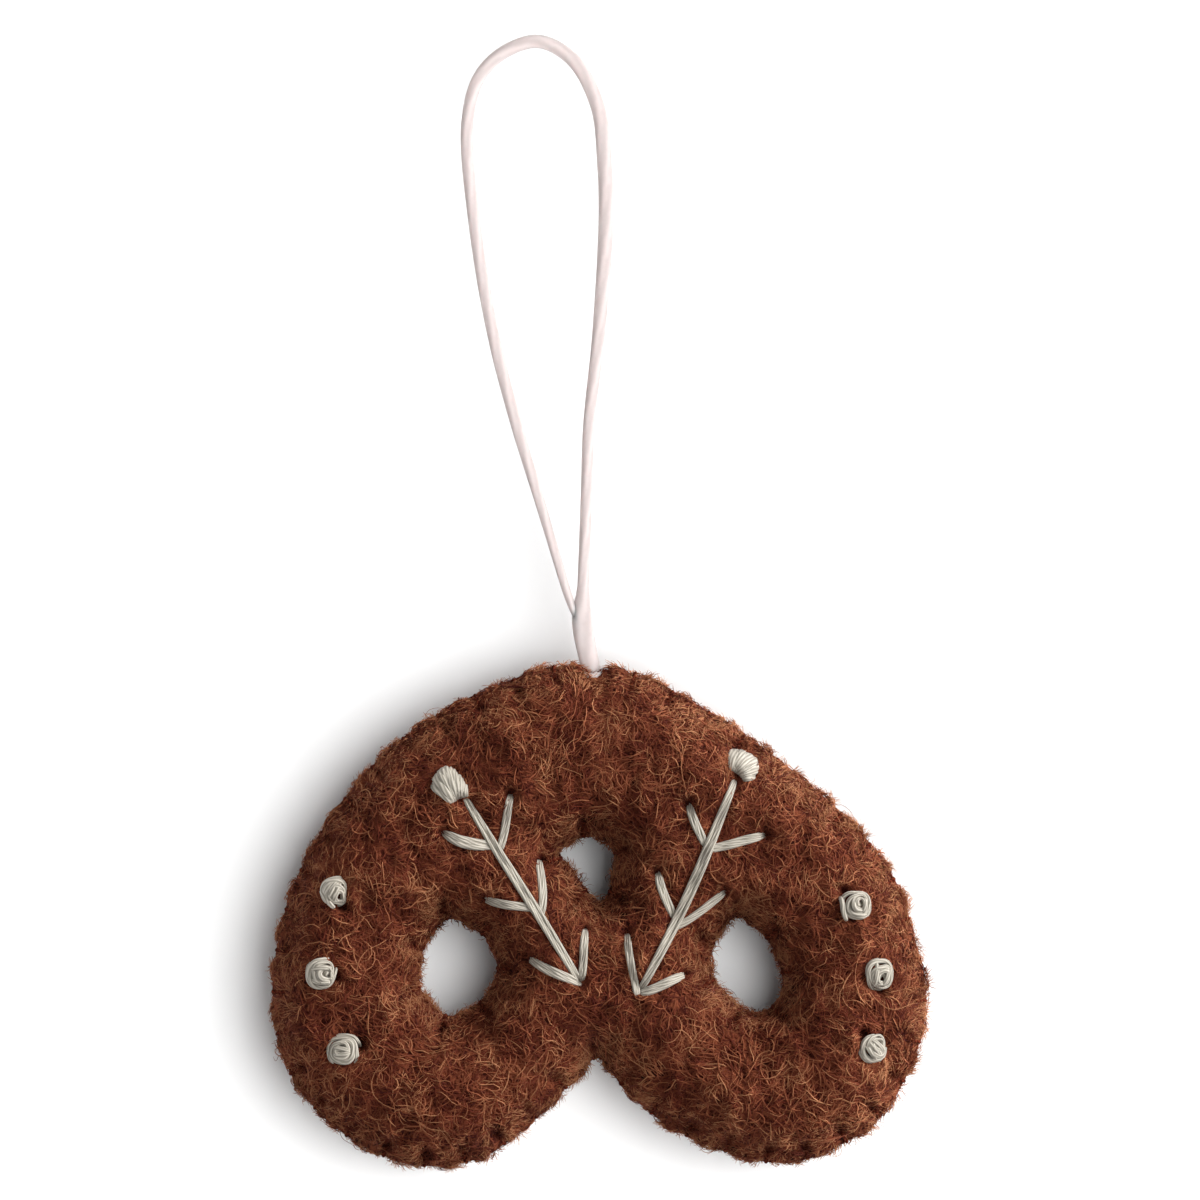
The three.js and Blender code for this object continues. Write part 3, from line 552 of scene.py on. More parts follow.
# Each knot: its middle, its width and height in millimetres, its dimple in shares of half of these, and the
# needle's hole in the felt in millimetres from its middle.
KNOTS = {
    "left": [
        ((-0.4065, 0.5504), 3.4, 3.5, (0.5, -0.55), (0.8, -1.65)),
        ((-0.4266, 0.3871), 3.6, 3.9, (0.6, -0.1), (1.6, -0.35)),
        ((-0.3941, 0.2319), 4.0, 4.0, (-0.05, 0.25), (2.0, 0.75)),
    ],
    "right": [
        ((0.3941, 0.5242), 3.5, 3.7, (0.2, 0.25), (-1.5, 1.5)),
        ((0.4281, 0.3851), 3.5, 3.9, (0.1, -0.2), (0.2, -1.9)),
        ((0.4189, 0.2379), 3.4, 3.8, (0.4, 0.3), (-1.1, 1.7)),
    ],
}
all_leaves = [leaf for leaves in LEAVES.values() for leaf in leaves]
all_knots = [knot for knots in KNOTS.values() for knot in knots]
laid = list(STEMS.values()) + [(at(root), at(tip)) for root, tip, _, _ in all_leaves]
needle_holes = [end for line in STEMS.values() for end in line] + [at(foot) for foot, _ in BUDS.values()]
needle_holes = np.array(needle_holes + [at(tip) for _, tip, _, _ in all_leaves])
knot_holes = np.array([at(knot[0]) + knot[4] for knot in all_knots])
knot_middles = np.array([at(knot[0]) for knot in all_knots])
bud_rims = np.array([at(tip) for _, tips in BUDS.values() for tip in tips])
# Depth and half-width of the dent at a needle's hole, a bud's rim, a knot's hole, a laid stitch and a knot.
NEEDLE_DENT, BUD_DENT, HOLE_DENT, LAID_DENT, KNOT_DENT = (1.0, 0.6), (0.35, 0.5), (1.5, 0.65), (0.3, 0.7), (0.5, 1.7)
# The felt's unevenness: height and size of its lumps, and their seeds on the front and on the back.
UNEVEN = ((0.22, 9, 3, 4), (0.12, 3.2, 5, 6), (0.07, 1.8, 9, 9))
EVEN_RIM = 2


def embroidery_dents(places):
    """Dimples at the needle's holes, a shallow groove under each laid stitch and a seat under each knot, each a
    bell of its own depth and half-width."""
    far = lambda marks: np.linalg.norm(places[:, None] - marks[None], axis=2).min(1)
    bell = lambda gap, depth, half: depth * np.exp(-((gap / half) ** 2))
    press = np.min([to_segment(places, a, b) for a, b in laid], axis=0)
    dent = bell(far(needle_holes), *NEEDLE_DENT) + bell(far(bud_rims), *BUD_DENT)
    dent = dent + bell(far(knot_holes), *HOLE_DENT)
    return dent + bell(press, *LAID_DENT) + bell(far(knot_middles), *KNOT_DENT)


def felt_face(places, front):
    """Height of a panel's outer face above the seams' plane: rim, crown and unevenness, less the dents. At the
    edge itself the unevenness fades out."""
    u = seam_distance(places)
    uneven = sum(high * lumps(places, size, fore if front else aft) for high, size, fore, aft in UNEVEN)
    height = RIM + CROWN * swell(u / REACH) + uneven * soft_step(u / EVEN_RIM) - stitch_dents(places)
    return height - embroidery_dents(places) if front else height


print("laid stitches:", len(laid), "needle holes:", len(needle_holes), "knots:", len(knot_middles))

# %% [markdown]
# ## Felt panels
# A panel is cut from flat felt, so its mesh starts flat too: points on the seams, and an even grid between
# them, joined into triangles as even as they can be. The height of each point then lifts it into its crowned
# form. At a stitch the edge itself is drawn in, which leaves the scalloped outline of a hand-sewn seam.

# %% Flat pattern
EDGE_STEP, GRID = 0.6, 0.72
OUTER_PULL, HOLE_PULL, PINCH_HALF, BULGE_SHARE = 0.5, 0.3, 0.85, 0.33


def scalloped(name):
    """A seam's ring in fine steps, drawn in by a bell-shaped pinch at each stitch and bulging between them."""
    ring = evenly(rings[name], round(length_of(rings[name], True) / EDGE_STEP), True)
    near = np.linalg.norm(ring[:, None] - np.vstack([stitch_places[name], CORD_EXIT])[None], axis=2).min(1)
    pull = OUTER_PULL if name == "outer_seam" else HOLE_PULL
    pinch = pull * (np.exp(-((near / PINCH_HALF) ** 2)) - BULGE_SHARE)
    return ring + inward(ahead(ring)) * pinch[:, None]


def is_inside(places, ring):
    """Even-odd rule: a place is inside if a ray from it crosses the ring an odd number of times."""
    x, z = places[:, :1], places[:, 1:]
    x0, z0 = ring.T
    x1, z1 = np.roll(ring, -1, 0).T
    with np.errstate(divide="ignore", invalid="ignore"):
        crosses = ((z0 > z) != (z1 > z)) & (x < (x1 - x0) * (z - z0) / (z1 - z0) + x0)
    return crosses.sum(1) % 2 == 1


def is_on_felt(places):
    """Inside the outer seam and outside the holes."""
    outer, *holes = (is_inside(places, edge) for edge in edges)
    return outer & ~np.any(holes, axis=0)


def edge_distance(places, blocks):
    """Straight distance from places to the nearest point of the edges, worked out in blocks to save memory."""
    split = np.array_split(places, blocks)
    return np.concatenate([np.linalg.norm(b[:, None] - edge_points[None], axis=2).min(1) for b in split])


edges = [scalloped(name) for name in rings]
edge_points = np.vstack(edges)
low, high = edge_points.min(0), edge_points.max(0)
columns = np.arange(low[0], high[0], GRID)
rows = np.arange(low[1], high[1], GRID * math.sqrt(0.75))
grid = np.stack(np.meshgrid(columns, rows), axis=-1)
grid[1::2, :, 0] += GRID / 2
grid = grid.reshape(-1, 2)
grid = grid[is_on_felt(grid)]
pattern = np.vstack([edge_points, grid[edge_distance(grid, 12) > 0.5 * GRID]])
first = np.cumsum([0] + [len(e) for e in edges])
ring_ids = [np.arange(a, b) for a, b in zip(first, first[1:])]
ring_pairs = [np.stack([ids, np.roll(ids, -1)], axis=1) for ids in ring_ids]
cut = delaunay_2d_cdt(pattern.tolist(), np.vstack(ring_pairs).tolist(), [], 0, 1e-6)
pattern = np.array([tuple(p) for p in cut[0]])
weave = np.array(cut[2])
weave = weave[is_on_felt(pattern[weave].mean(1))]
turn = np.cross(pattern[weave[:, 1]] - pattern[weave[:, 0]], pattern[weave[:, 2]] - pattern[weave[:, 0]])
weave[turn < 0] = weave[turn < 0][:, ::-1]
print("pattern:", len(pattern), "points,", len(weave), "triangles, area", round(np.abs(turn).sum() / 2), "mm2")

# %% Panels
FELT, RIM_GAP, ALLOWANCE, THINNEST = 2.0, 0.15, 1.8, 0.5
EDGE_ROWS = ((0.72, 0.2), (0.3, 0.2))  # share of the edge's height, and how far the row stands out
reach = seam_distance(pattern)
inner_height = RIM_GAP + (CROWN + RIM - RIM_GAP - FELT) * swell((reach - ALLOWANCE) / (REACH - ALLOWANCE))


def panel_mesh(front):
    """Outer face, inner face and a rounded edge between them. The edge's two middle rows stand out from the
    seam by a fifth of a millimetre. The front faces -Y, and the back panel is the same turned round."""
    outer = felt_face(pattern, front)
    sign = -1.0 if front else 1.0
    inner = np.minimum(inner_height, outer - THINNEST)
    count = len(pattern)
    points = [in_space(pattern, sign * outer), in_space(pattern, sign * inner)]
    faces = [weave, weave[:, ::-1] + count]
    offset = 2 * count
    for edge, ids in zip(edges, ring_ids):
        out = -inward(ahead(edge))
        depth = outer[ids] - RIM_GAP
        rows = [ids]
        for share, bulge in EDGE_ROWS:
            points.append(in_space(pattern[ids] + out * bulge, sign * (RIM_GAP + depth * share)))
            rows.append(offset + np.arange(len(ids)))
            offset += len(ids)
        rows.append(ids + count)
        for a, b in zip(rows, rows[1:]):
            faces.append(np.stack([a, b, np.roll(b, -1), np.roll(a, -1)], axis=1))
    if not front:
        faces = [f[:, ::-1] for f in faces]
    return np.vstack(points), faces


# Painted shade: dents this deep darken the felt and its fibres fully.
DARK_STITCH, DARK_FLOSS = 2.2, 1.9  # dents of this depth are fully dark


def sunk(places, front):
    """Painted shade: nought on open felt to one in the depth of a dent, where hardly any light reaches the wool."""
    dent = stitch_dents(places) / DARK_STITCH
    return np.clip(dent + embroidery_dents(places) / DARK_FLOSS, 0, 1) if front else np.clip(dent, 0, 1)


panels = {}
for front, name in ((True, "front_felt"), (False, "back_felt")):
    panels[name] = panel_mesh(front)
    # The dent attribute is painted shade: it darkens the felt coat in the dents.
    dent = sunk(panels[name][0][:, ::2], front)
    piece = new_piece(name + "_panel", *panels[name], felt_coat, "felt_ornament", "felt", dent=dent)
    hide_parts(name)
    print(piece.name, len(piece.data.polygons), "faces, top", round(np.abs(panels[name][0][:, 1]).max(), 2), "mm")

# %% [markdown]
# ## Stuffing
# The stuffing fills the space between the panels. It never shows, so a coarser layer is enough: the same flat
# pattern with a little unevenness, its two faces meeting where the panels lie together.

# %% Stuffing
FILL_GAP = 0.45
fill = np.maximum(inner_height - FILL_GAP, 0) * (1 + 0.03 * lumps(pattern, 4, 8))
filled = weave[(fill[weave] > 0).any(1)]
count = len(pattern)
above = np.where(fill > 0, np.arange(count) + count, np.arange(count))
wad = np.vstack([in_space(pattern, -fill), in_space(pattern, fill)])
used, renumbered = np.unique(np.concatenate([filled, above[filled[:, ::-1]]]), return_inverse=True)
stuffing = new_piece("stuffing_wad", wad[used], [renumbered.reshape(-1, 3)], white_fill, "felt_ornament", "stuffing")
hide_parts("stuffing")
print("stuffing:", len(stuffing.data.polygons), "faces")

# %% [markdown]
# ## Seam threads
# A blanket stitch goes over the edge at each dent and runs along the edge between them. The brown thread sinks
# into the felt, so it only shows at the edge.

# %% Seam threads
THREAD, THREAD_SIDES = 0.24, 6
LEG_DEEPS = np.array([1.5, 1.1, 0.6, 0.1, -0.25])  # from the edge inwards, foot first
LEG_RISES = np.array([-0.3, 0.05, 0.12, 0.1, -0.2])  # above the groove's floor
RUN_STEP, RUN_OUT = 0.8, 0.12


def joined(parts):
    """Several carried groups of strands as one: all their points, faces and UV pairs."""
    points, faces, pairs = [], [], []
    for part_points, part_faces, part_pairs in parts:
        offset = sum(len(p) for p in points)
        faces += [f + offset for f in part_faces]
        points.append(part_points)
        pairs.append(part_pairs)
    return np.vstack(points), faces, np.vstack(pairs)


def seam_stitches(name):
    """Each leg goes from its foot on the front over the edge to its foot on the back, a little above the
    groove's floor. The run follows the seam between the panels, and leaves a gap where the cord comes out."""
    places, travel = stitch_places[name], stitch_travel[name]
    spots = places[:, None] + inward(travel)[:, None] * LEG_DEEPS[None, :, None]
    legs = []
    for front, sign in ((True, -1.0), (False, 1.0)):
        height = felt_face(spots.reshape(-1, 2), front).reshape(len(places), -1) + LEG_RISES
        legs.append(in_space(spots, sign * height))
    legs = np.concatenate([legs[0], legs[1][:, ::-1]], axis=1)
    along = in_space(travel, 0.0)[:, None]
    run = evenly(rings[name], round(length_of(rings[name], True) / RUN_STEP), True)
    run = run - inward(ahead(run)) * RUN_OUT
    if name == "outer_seam":
        run = run[np.linalg.norm(run - CORD_EXIT, axis=1) > STITCH_PITCH]
    else:
        run = np.vstack([run, run[:1]])
    groups = ((legs, along), (in_space(run, 0.0)[None], TOWARDS_BACK))
    return joined([carried(paths, ups, THREAD, THREAD, THREAD_SIDES) for paths, ups in groups])


for name in rings:
    node = name + "_thread"
    points, faces, pairs = seam_stitches(name)
    piece = new_piece(node + "_stitches", points, faces, brown_thread, "felt_ornament", "sewing_thread", strand=pairs)
    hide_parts(node)
print("seam threads:", list(rings))

# %% [markdown]
# ## Inner knot
# The loop's two tails go on inside the felt to a knot that can't pull out. They never show. A trefoil is the
# plain overhand knot with its ends joined, so one such tube and two straight tails stand for it. One short turn
# lies across the cord where it comes out of the seam, and that one shows.

# %% Inner knot
TAIL_HALF, TAIL_SIDES, TAIL_STATIONS = 0.62, 10, 91
TAIL_APART, TAIL_UP = [0.66, 0, 0], [0.0, 0.3, 1.0]
turn = np.linspace(0, 2 * np.pi, TAIL_STATIONS)
trefoil = [np.sin(turn) + 2 * np.sin(2 * turn), np.sin(3 * turn), np.cos(turn) - 2 * np.cos(2 * turn)]
trefoil = np.stack(trefoil, axis=1) * [0.5, 0.55, 0.36] + [CORD_EXIT[0], 0, CORD_EXIT[1] - 7.2]
tails = np.linspace([0, 0, -1.9], [0, 0, -6.6], TAIL_STATIONS) + [CORD_EXIT[0], 0, CORD_EXIT[1]]
crossing = [(4.9, 0.5, -72.4), (5.1, -0.9, -72.8), (5.9, -1.4, -73.1), (6.8, -0.9, -72.9), (7.1, 0.5, -72.5)]
crossing = evenly(open_line(crossing), TAIL_STATIONS, ring=False)
strands = np.stack([trefoil, np.subtract(tails, TAIL_APART), np.add(tails, TAIL_APART), crossing])
points, faces, pairs = carried(strands, TAIL_UP, TAIL_HALF, TAIL_HALF, TAIL_SIDES)
inner_knot = new_piece("cord_inner_knot", points, faces, pale_cord, "felt_ornament", "cord", strand=pairs)
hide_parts("cord_knot")
print("inner knot:", len(inner_knot.data.polygons), "faces")

# %% [markdown]
# ## Embroidery
# Six-strand floss lies flat and splits into strands, so a stitch is a few thin oval tubes side by side. They
# rise out of one needle hole, lie along the felt and dive into the other. A bud is a fan of satin stitches.

# %% Laid stitches
FLOSS_SIDES = 8


def on_front(places, rise):
    """Points above the front's face, which looks along -Y."""
    height = felt_face(places.reshape(-1, 2), True).reshape(places.shape[:-1]) + rise
    return in_space(places, -height)


def laid_strands(start, end, bow, spread, thick, rise, stations):
    """Strands from one needle hole to the other. All bow sideways by a sine, each keeps its own place in the
    spread, closer together at the ends, and the ends dive into the felt as a steep root of that sine."""
    share = np.linspace(0, 1, stations)
    arch = np.sin(np.pi * share)
    step = end - start
    side = np.array([-step[1], step[0]]) / np.linalg.norm(step)
    spread, thick = np.asarray(spread)[:, None], np.asarray(thick)[:, None]
    offset = bow * arch + spread * (0.5 + 0.5 * arch**0.6) + 0.05 * np.sin(7 * share + 9 * spread)
    places = start + step * share[:, None] + offset[..., None] * side
    paths = on_front(places, (rise - 0.5) + 0.5 * arch**0.3)
    shape = thick * (0.72 + 0.28 * arch**0.5)
    return carried(paths, TOWARDS_FRONT, shape, 0.85 * shape, FLOSS_SIDES)


def satin_fan(foot, tips, seed):
    """Satin stitches side by side from a narrow foot to a wide rim. Each is a straight stitch that arches over
    the felt, the middle ones highest, and widens towards the rim. No two are pulled quite alike."""
    rng = np.random.default_rng(seed)
    uneven = rng.uniform(-1, 1, (len(tips), 1))
    tips = tips + 0.06 * uneven * unit(tips - foot)
    place = np.linspace(-1, 1, len(tips))[:, None]
    share = np.linspace(0, 1, 11)
    axis = unit(tips.mean(0) - foot)
    start = foot + 0.8 * place * np.array([axis[1], -axis[0]])
    places = start[:, None] + (tips - start)[:, None] * share[:, None]
    arch = np.sin(np.pi * share) ** 0.45
    paths = on_front(places, -0.35 + (1.15 - 0.4 * place**2 + 0.1 * uneven) * arch)
    wide = np.interp(share, [0, 0.2, 0.85, 1], [0.22, 0.28, 0.36, 0.3]) * rng.uniform(0.7, 1.3, (len(tips), 1))
    return carried(paths, TOWARDS_FRONT, wide, 0.42 * wide, FLOSS_SIDES)


floss = []


def floss_piece(name, parts):
    """One piece from several groups of strands, standing for the node of the same name."""
    points, faces, pairs = joined(parts)
    piece = new_piece(
        name + "_floss", points, faces, sage_floss, "felt_ornament", "embroidery_thread", strand=pairs)
    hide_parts(name)
    floss.append(piece)


# %% Twigs
# Each stem: how far it bows sideways, and the places and half-widths of its three strands.
STEM_STRANDS = {
    "left": (0.0, [-0.35, 0.02, 0.34], [0.25, 0.22, 0.24]),
    "right": (0.5, [0.39, -0.02, -0.38], [0.23, 0.23, 0.25]),
}
STEM_RISE, STEM_STATIONS = 0.42, 25
LEAF_SPREAD, LEAF_HALVES = np.array([-0.29, 0.0, 0.28]), np.array([0.22, 0.24, 0.22])
LEAF_RISE, LEAF_STATIONS = 0.25, 13
SATIN_STITCHES = 14
for side in ("left", "right"):
    top, foot = STEMS[side]
    down = unit(foot - top)
    stem = laid_strands(top - 0.4 * down, foot + 0.2 * down, *STEM_STRANDS[side], STEM_RISE, STEM_STATIONS)
    floss_piece(f"{side}_stem", [stem])
    for number, (root, tip, bow, width) in enumerate(LEAVES[side], 1):
        root, tip = at(root), at(tip)
        on = unit(tip - root)
        under = np.linalg.solve(np.stack([-on, -down], axis=1), top - root)[0]  # from the root to the stem's line
        start, end = root - np.clip(under, 0.5, 2.0) * on, tip + 0.15 * on
        spread, halves = LEAF_SPREAD * width, LEAF_HALVES * width
        floss_piece(
            f"{side}_leaf_{number}", [laid_strands(start, end, bow, spread, halves, LEAF_RISE, LEAF_STATIONS)])
    foot, rim = BUDS[side]
    floss_piece(f"{side}_bud", [satin_fan(at(foot), evenly(at(rim), SATIN_STITCHES, ring=False), len(side))])
print("stems, leaves and buds:", len(floss), "pieces")

# %% [markdown]
# ## French knots
# For a French knot the floss is wound round the needle and pulled down. It is one strand on a rising spiral
# that ends in a dimple, and the dimple is seldom in the middle: a hasty pull drags it to one side, so the turns
# crowd together there and lie wide on the other. Two of the knots have a short stitch laid against them.

# %% French knots
TURNS = 4.4
STRAND_HALF = 0.28
# A short stitch laid against a knot: its two ends, in millimetres from the knot's middle.
KNOT_LEGS = {"left_knot_1": ((-1.65, 0.0), (-0.2, -1.8)), "right_knot_1": ((-1.85, 0.85), (-1.2, -1.75))}
# Turns across the top: angle in degrees, and offset and reach in shares of the knot's half-width.
OVER = {
    "left_knot_1": [(70, -0.25, 0.8), (66, 0.15, 0.9), (60, 0.55, 0.7)],
    "left_knot_2": [(8, 0.35, 0.8), (-4, -0.6, 0.7)],
    "left_knot_3": [(-6, 0.24, 0.55), (10, -0.14, 0.6)],
    "right_knot_1": [(2, -0.7, 0.8), (80, -0.5, 0.6)],
    "right_knot_2": [(84, 0.45, 0.85), (72, -0.4, 0.8)],
    "right_knot_3": [(-46, -0.5, 0.7), (-42, -0.1, 0.75), (-36, 0.3, 0.7)],
}


def knot_dome(middle, wide, tall):
    """A knot's own ground: a function that puts a plan, in shares of the knot's half-width, and a rise onto the
    felt's slope there, and the direction in which that slope faces."""
    base = on_front(at(middle)[None], 0.0)[0]
    probe = on_front(at(middle) + np.array([[0.6, 0], [-0.6, 0], [0, 0.6], [0, -0.6]]), 0.0)
    right, upward = unit(probe[0] - probe[1]), unit(probe[2] - probe[3])
    outward = unit(np.cross(right, upward))

    def put(plan, rise):
        x, z = (plan * (np.array([wide, tall]) / 2 - STRAND_HALF)).T
        slope = x * right[1] / right[0] + z * upward[1] / upward[2]
        return base + np.stack([x, slope, z], axis=1) + rise[:, None] * outward

    return put, outward


def dome(out):
    """Height of the knot's turns: the root of one less most of the square of the share from its middle."""
    return 1.5 * np.sqrt(np.maximum(1 - 0.82 * out**2, 0.02)) - 0.45


def wound_knot(put, outward, wide, hole, seed):
    """One tube on a spiral. In shares of the knot's half-width, each turn is a circle whose size shrinks to the
    dimple's as its centre moves from the knot's middle to the dimple. A slightly square outline stretches it. It
    starts sunk in the felt, and at the end it drops into the dimple."""
    rng = np.random.default_rng(seed)
    share = np.linspace(0, 1, 180)
    turn = rng.uniform(0, 2 * np.pi) + 2 * np.pi * TURNS * share
    size = np.interp(share, [0, 0.2, 1], [1.0, 0.98, 0.12])
    wobble = 1 + 0.08 * np.sin(1.7 * turn + rng.uniform(0, 6)) + 0.05 * np.sin(2.9 * turn)
    plan = np.stack([np.cos(turn), np.sin(turn)], axis=1) * (size * wobble)[:, None] + np.outer(1 - size, hole)
    rise = dome(np.linalg.norm(plan, axis=1)) + 0.08 * np.sin(2.3 * turn)
    rise = rise - 0.65 * soft_step((share - 0.8) / 0.2) - 0.3 * soft_step(1 - share / 0.06)
    rise = rise - 1.2 * soft_step(1 - share / 0.025)
    square = (np.abs(np.cos(turn)) ** 2.6 + np.abs(np.sin(turn)) ** 2.6) ** (-1 / 2.6)
    path = put(plan * square[:, None], rise)
    room = (wide / 2 - STRAND_HALF) / (0.8 * TURNS) * (1 - np.cos(turn) * hole[0] - np.sin(turn) * hole[1])
    half = np.clip(0.62 * room, 0.17, 0.36) * np.interp(share, [0, 0.05, 0.92, 1], [0.7, 1.0, 1.0, 0.7])
    return carried(path[None], outward, half, 0.95 * half, FLOSS_SIDES)


def over_turns(put, outward, arcs):
    """Turns pulled across the top: each is an arc at an angle and an offset from the middle, bowed outwards by a
    parabola. It lies a little above the dome and dives between the other turns at both ends."""
    paths = []
    share = np.linspace(-1, 1, 17)
    for angle, offset, reach in arcs:
        way = np.array([math.cos(math.radians(angle)), math.sin(math.radians(angle))])
        plan = np.outer(share * reach, way) + np.outer(offset - 0.25 * offset * share**2, [-way[1], way[0]])
        paths.append(put(plan, dome(np.linalg.norm(plan, axis=1)) + 0.14 - 0.5 * share**6))
    half = 0.3 * (1 - 0.35 * share**4)
    return carried(np.array(paths), outward, half, 0.8 * half, FLOSS_SIDES)


for side, knots in KNOTS.items():
    for number, (middle, wide, tall, hole, _) in enumerate(knots, 1):
        name = f"{side}_knot_{number}"
        ground = knot_dome(middle, wide, tall)
        parts = [wound_knot(*ground, wide, hole, 10 * number + len(side)), over_turns(*ground, OVER[name])]
        if name in KNOT_LEGS:
            start, end = at(middle) + KNOT_LEGS[name]
            parts.append(laid_strands(start, end, 0.0, [0.0], [0.31], 0.75, 11))
        floss_piece(name, parts)
print("knots made:", len(all_knots))

# %% [markdown]
# ## Loose wool
# Hand-made felt is never bald. Curled fibres lie over the face in every direction and short ends stand out
# from the edge, which gives the ornament its soft outline. Each fibre is a three-sided tube of a few stations,
# placed by area over the panels, with one random shade; the fuzz on the edge is made lighter as painted rim
# light, and fibres in the dents are darkened as painted shade.

# %% Fibre helper
LOOKUP_STEP, LOOKUP_MARGIN, OFF_FELT = 0.35, 4, 0.9
grid_x = np.arange(low[0] - LOOKUP_MARGIN, high[0] + LOOKUP_MARGIN, LOOKUP_STEP)
grid_z = np.arange(low[1] - LOOKUP_MARGIN, high[1] + LOOKUP_MARGIN, LOOKUP_STEP)
flat_places = np.stack(np.meshgrid(grid_x, grid_z, indexing="ij"), axis=-1).reshape(-1, 2)
on_felt = is_on_felt(flat_places)
tabled = lambda values: values.reshape(len(grid_x), len(grid_z))
edge_gap = tabled(edge_distance(flat_places, 60) * np.where(on_felt, 1, -1))
pressed = tabled(embroidery_dents(flat_places))
face_heights, dent_shade_tables = {}, {}
for name in panels:
    heights = np.full(len(on_felt), OFF_FELT)
    heights[on_felt] = felt_face(flat_places[on_felt], name == "front_felt")
    face_heights[name] = tabled(heights)
    dent_shade_tables[name] = tabled(sunk(flat_places, name == "front_felt"))


def looked_up(table, places):
    """A table's value at each place, mixed from the four nearest grid values."""
    i = np.clip((places[..., 0] - grid_x[0]) / LOOKUP_STEP, 0, len(grid_x) - 2.001)
    j = np.clip((places[..., 2] - grid_z[0]) / LOOKUP_STEP, 0, len(grid_z) - 2.001)
    i0, j0 = i.astype(int), j.astype(int)
    fi, fj = i - i0, j - j0
    near = table[i0, j0] * (1 - fj) + table[i0, j0 + 1] * fj
    far = table[i0 + 1, j0] * (1 - fj) + table[i0 + 1, j0 + 1] * fj
    return near * (1 - fi) + far * fi


def skin(name):
    """The panel's outer face and edge as triangles, with their areas, how far they face front or back, and the
    points' mean normals."""
    points, faces = panels[name]
    triangles = np.vstack([faces[0]] + [np.vstack([f[:, :3], f[:, [0, 2, 3]]]) for f in faces[2:]])
    a, b, c = (points[triangles[:, k]] for k in range(3))
    normal = np.cross(b - a, c - a)
    mean = np.zeros_like(points)
    for k in range(3):
        np.add.at(mean, triangles[:, k], normal)
    return points, triangles, np.linalg.norm(normal, axis=1) / 2, np.abs(unit(normal)[:, 1]), unit(mean)


skins = {name: skin(name) for name in panels}
EDGE_FACING, STEEP, LONG_FIBRE, STEEP_SHARE, OVERHANG, ROOT = 0.7, 0.55, 2, 0.4, 0.45, 0.06
NAP, ASTRAY, CURL, SWING = 13, 0.55, 0.45, 0.4  # size of the nap, and how far fibres stray, curl and swing
FIBRE_SIDES = 3


def fibres(name, panel, count, seed, longest, lift, stand, thick, stations, edge_only=False, painted_rim_light=0.0):
    """Fibres strewn by area. Each heads roughly the way of its neighbours in the felt's plane, and turns at its
    own rate. Its height above the felt is an arch, higher for lighter fibres, and stand tips its far end up, more
    in some tufts than in others. On the face it follows the felt's height, and a fibre that would hang over the
    edge by more than about half a millimetre is drawn shorter."""
    rng = np.random.default_rng(seed)
    points, triangles, areas, facing, normals = skins[panel]
    front = panel == "front_felt"
    weight = areas * (facing < EDGE_FACING) if edge_only else areas
    pick = rng.choice(len(triangles), count, p=weight / weight.sum())
    mix = rng.dirichlet((1, 1, 1), count)[:, :, None]
    base = (points[triangles[pick]] * mix).sum(1)
    normal = unit((normals[triangles[pick]] * mix).sum(1))
    spare = np.where(np.abs(normal[:, 2:]) < 0.8, [[0.0, 0.0, 1.0]], [[1.0, 0.0, 0.0]])
    right = unit(np.cross(spare, normal))
    upward = np.cross(normal, right)
    steep = np.abs(normal[:, 1]) < STEEP
    length = longest * rng.uniform(0.4, 1.0, count) * np.where(steep & (longest > LONG_FIBRE), STEEP_SHARE, 1.0)
    share = np.linspace(0, 1, stations)
    heading = np.pi * lumps(base[:, ::2], NAP, 50) + rng.normal(0, ASTRAY, count)
    bend = rng.normal(0, CURL, (count, 1)) * length[:, None] * share
    bend = bend + rng.normal(0, SWING, (count, 1)) * np.sin(2 * np.pi * share + rng.uniform(0, 6, (count, 1)))
    step = length[:, None, None] / (stations - 1)
    way = (heading[:, None] + bend)[..., None]
    ahead_by = np.cumsum(np.cos(way) * right[:, None] + np.sin(way) * upward[:, None], axis=1) * step
    for shorter in (0.4, 0.3):
        off = looked_up(edge_gap, base[:, None] + ahead_by).min(1) < -OVERHANG
        ahead_by[off & ~steep] *= shorter
    flat = base[:, None] + ahead_by
    level = looked_up(face_heights[panel], flat) - looked_up(face_heights[panel], base)[:, None]
    flat[~steep, :, 1] = base[~steep][:, None, 1] + (-level if front else level)[~steep]
    shade = rng.beta(2.4, 2.8, count)
    # Lighter fibres arch higher and darker ones stay low, so the random shades also paint the depth of the mat
    # darker, as painted shade.
    rise = (ROOT + lift * shade[:, None]) * np.sin(np.pi * share) ** 0.7 - ROOT
    tufts = 0.8 + 0.35 * normal[:, :1] + 0.3 * np.clip(lumps(base[:, ::2], 1.7, 53), -1.4, 1.4)[:, None]
    rise = rise + stand * tufts * rng.uniform(0.3, 1.0, (count, 1)) * share
    if front:
        rise = rise * (1 - 0.85 * np.clip(5 * looked_up(pressed, flat), 0, 1))
    paths = flat + rise[..., None] * normal[:, None]
    taper = np.interp(share, [0, 0.15, 0.8, 1], [0.7, 1, 0.85, 0.3])
    half = thick * rng.uniform(0.7, 1.3, (count, 1)) * taper
    made, faces, _ = carried(paths, normal[:, None], half, half, FIBRE_SIDES)
    patchy = (0.09 * lumps(base[:, ::2], 7, 51) + 0.15 * lumps(base[:, ::2], 1.8, 52))[:, None]
    # Fibres that lie in a dent get painted shade, up to nine tenths darker.
    shade = (shade[:, None] + patchy + painted_rim_light) * (1 - 0.9 * looked_up(dent_shade_tables[panel], flat))
    piece = new_piece(name, made, faces, wool_fibre, "felt_ornament", "felt", shade=np.repeat(shade, FIBRE_SIDES))
    print(name, count, "fibres,", len(piece.data.polygons) * 2 - 2 * count, "triangles")


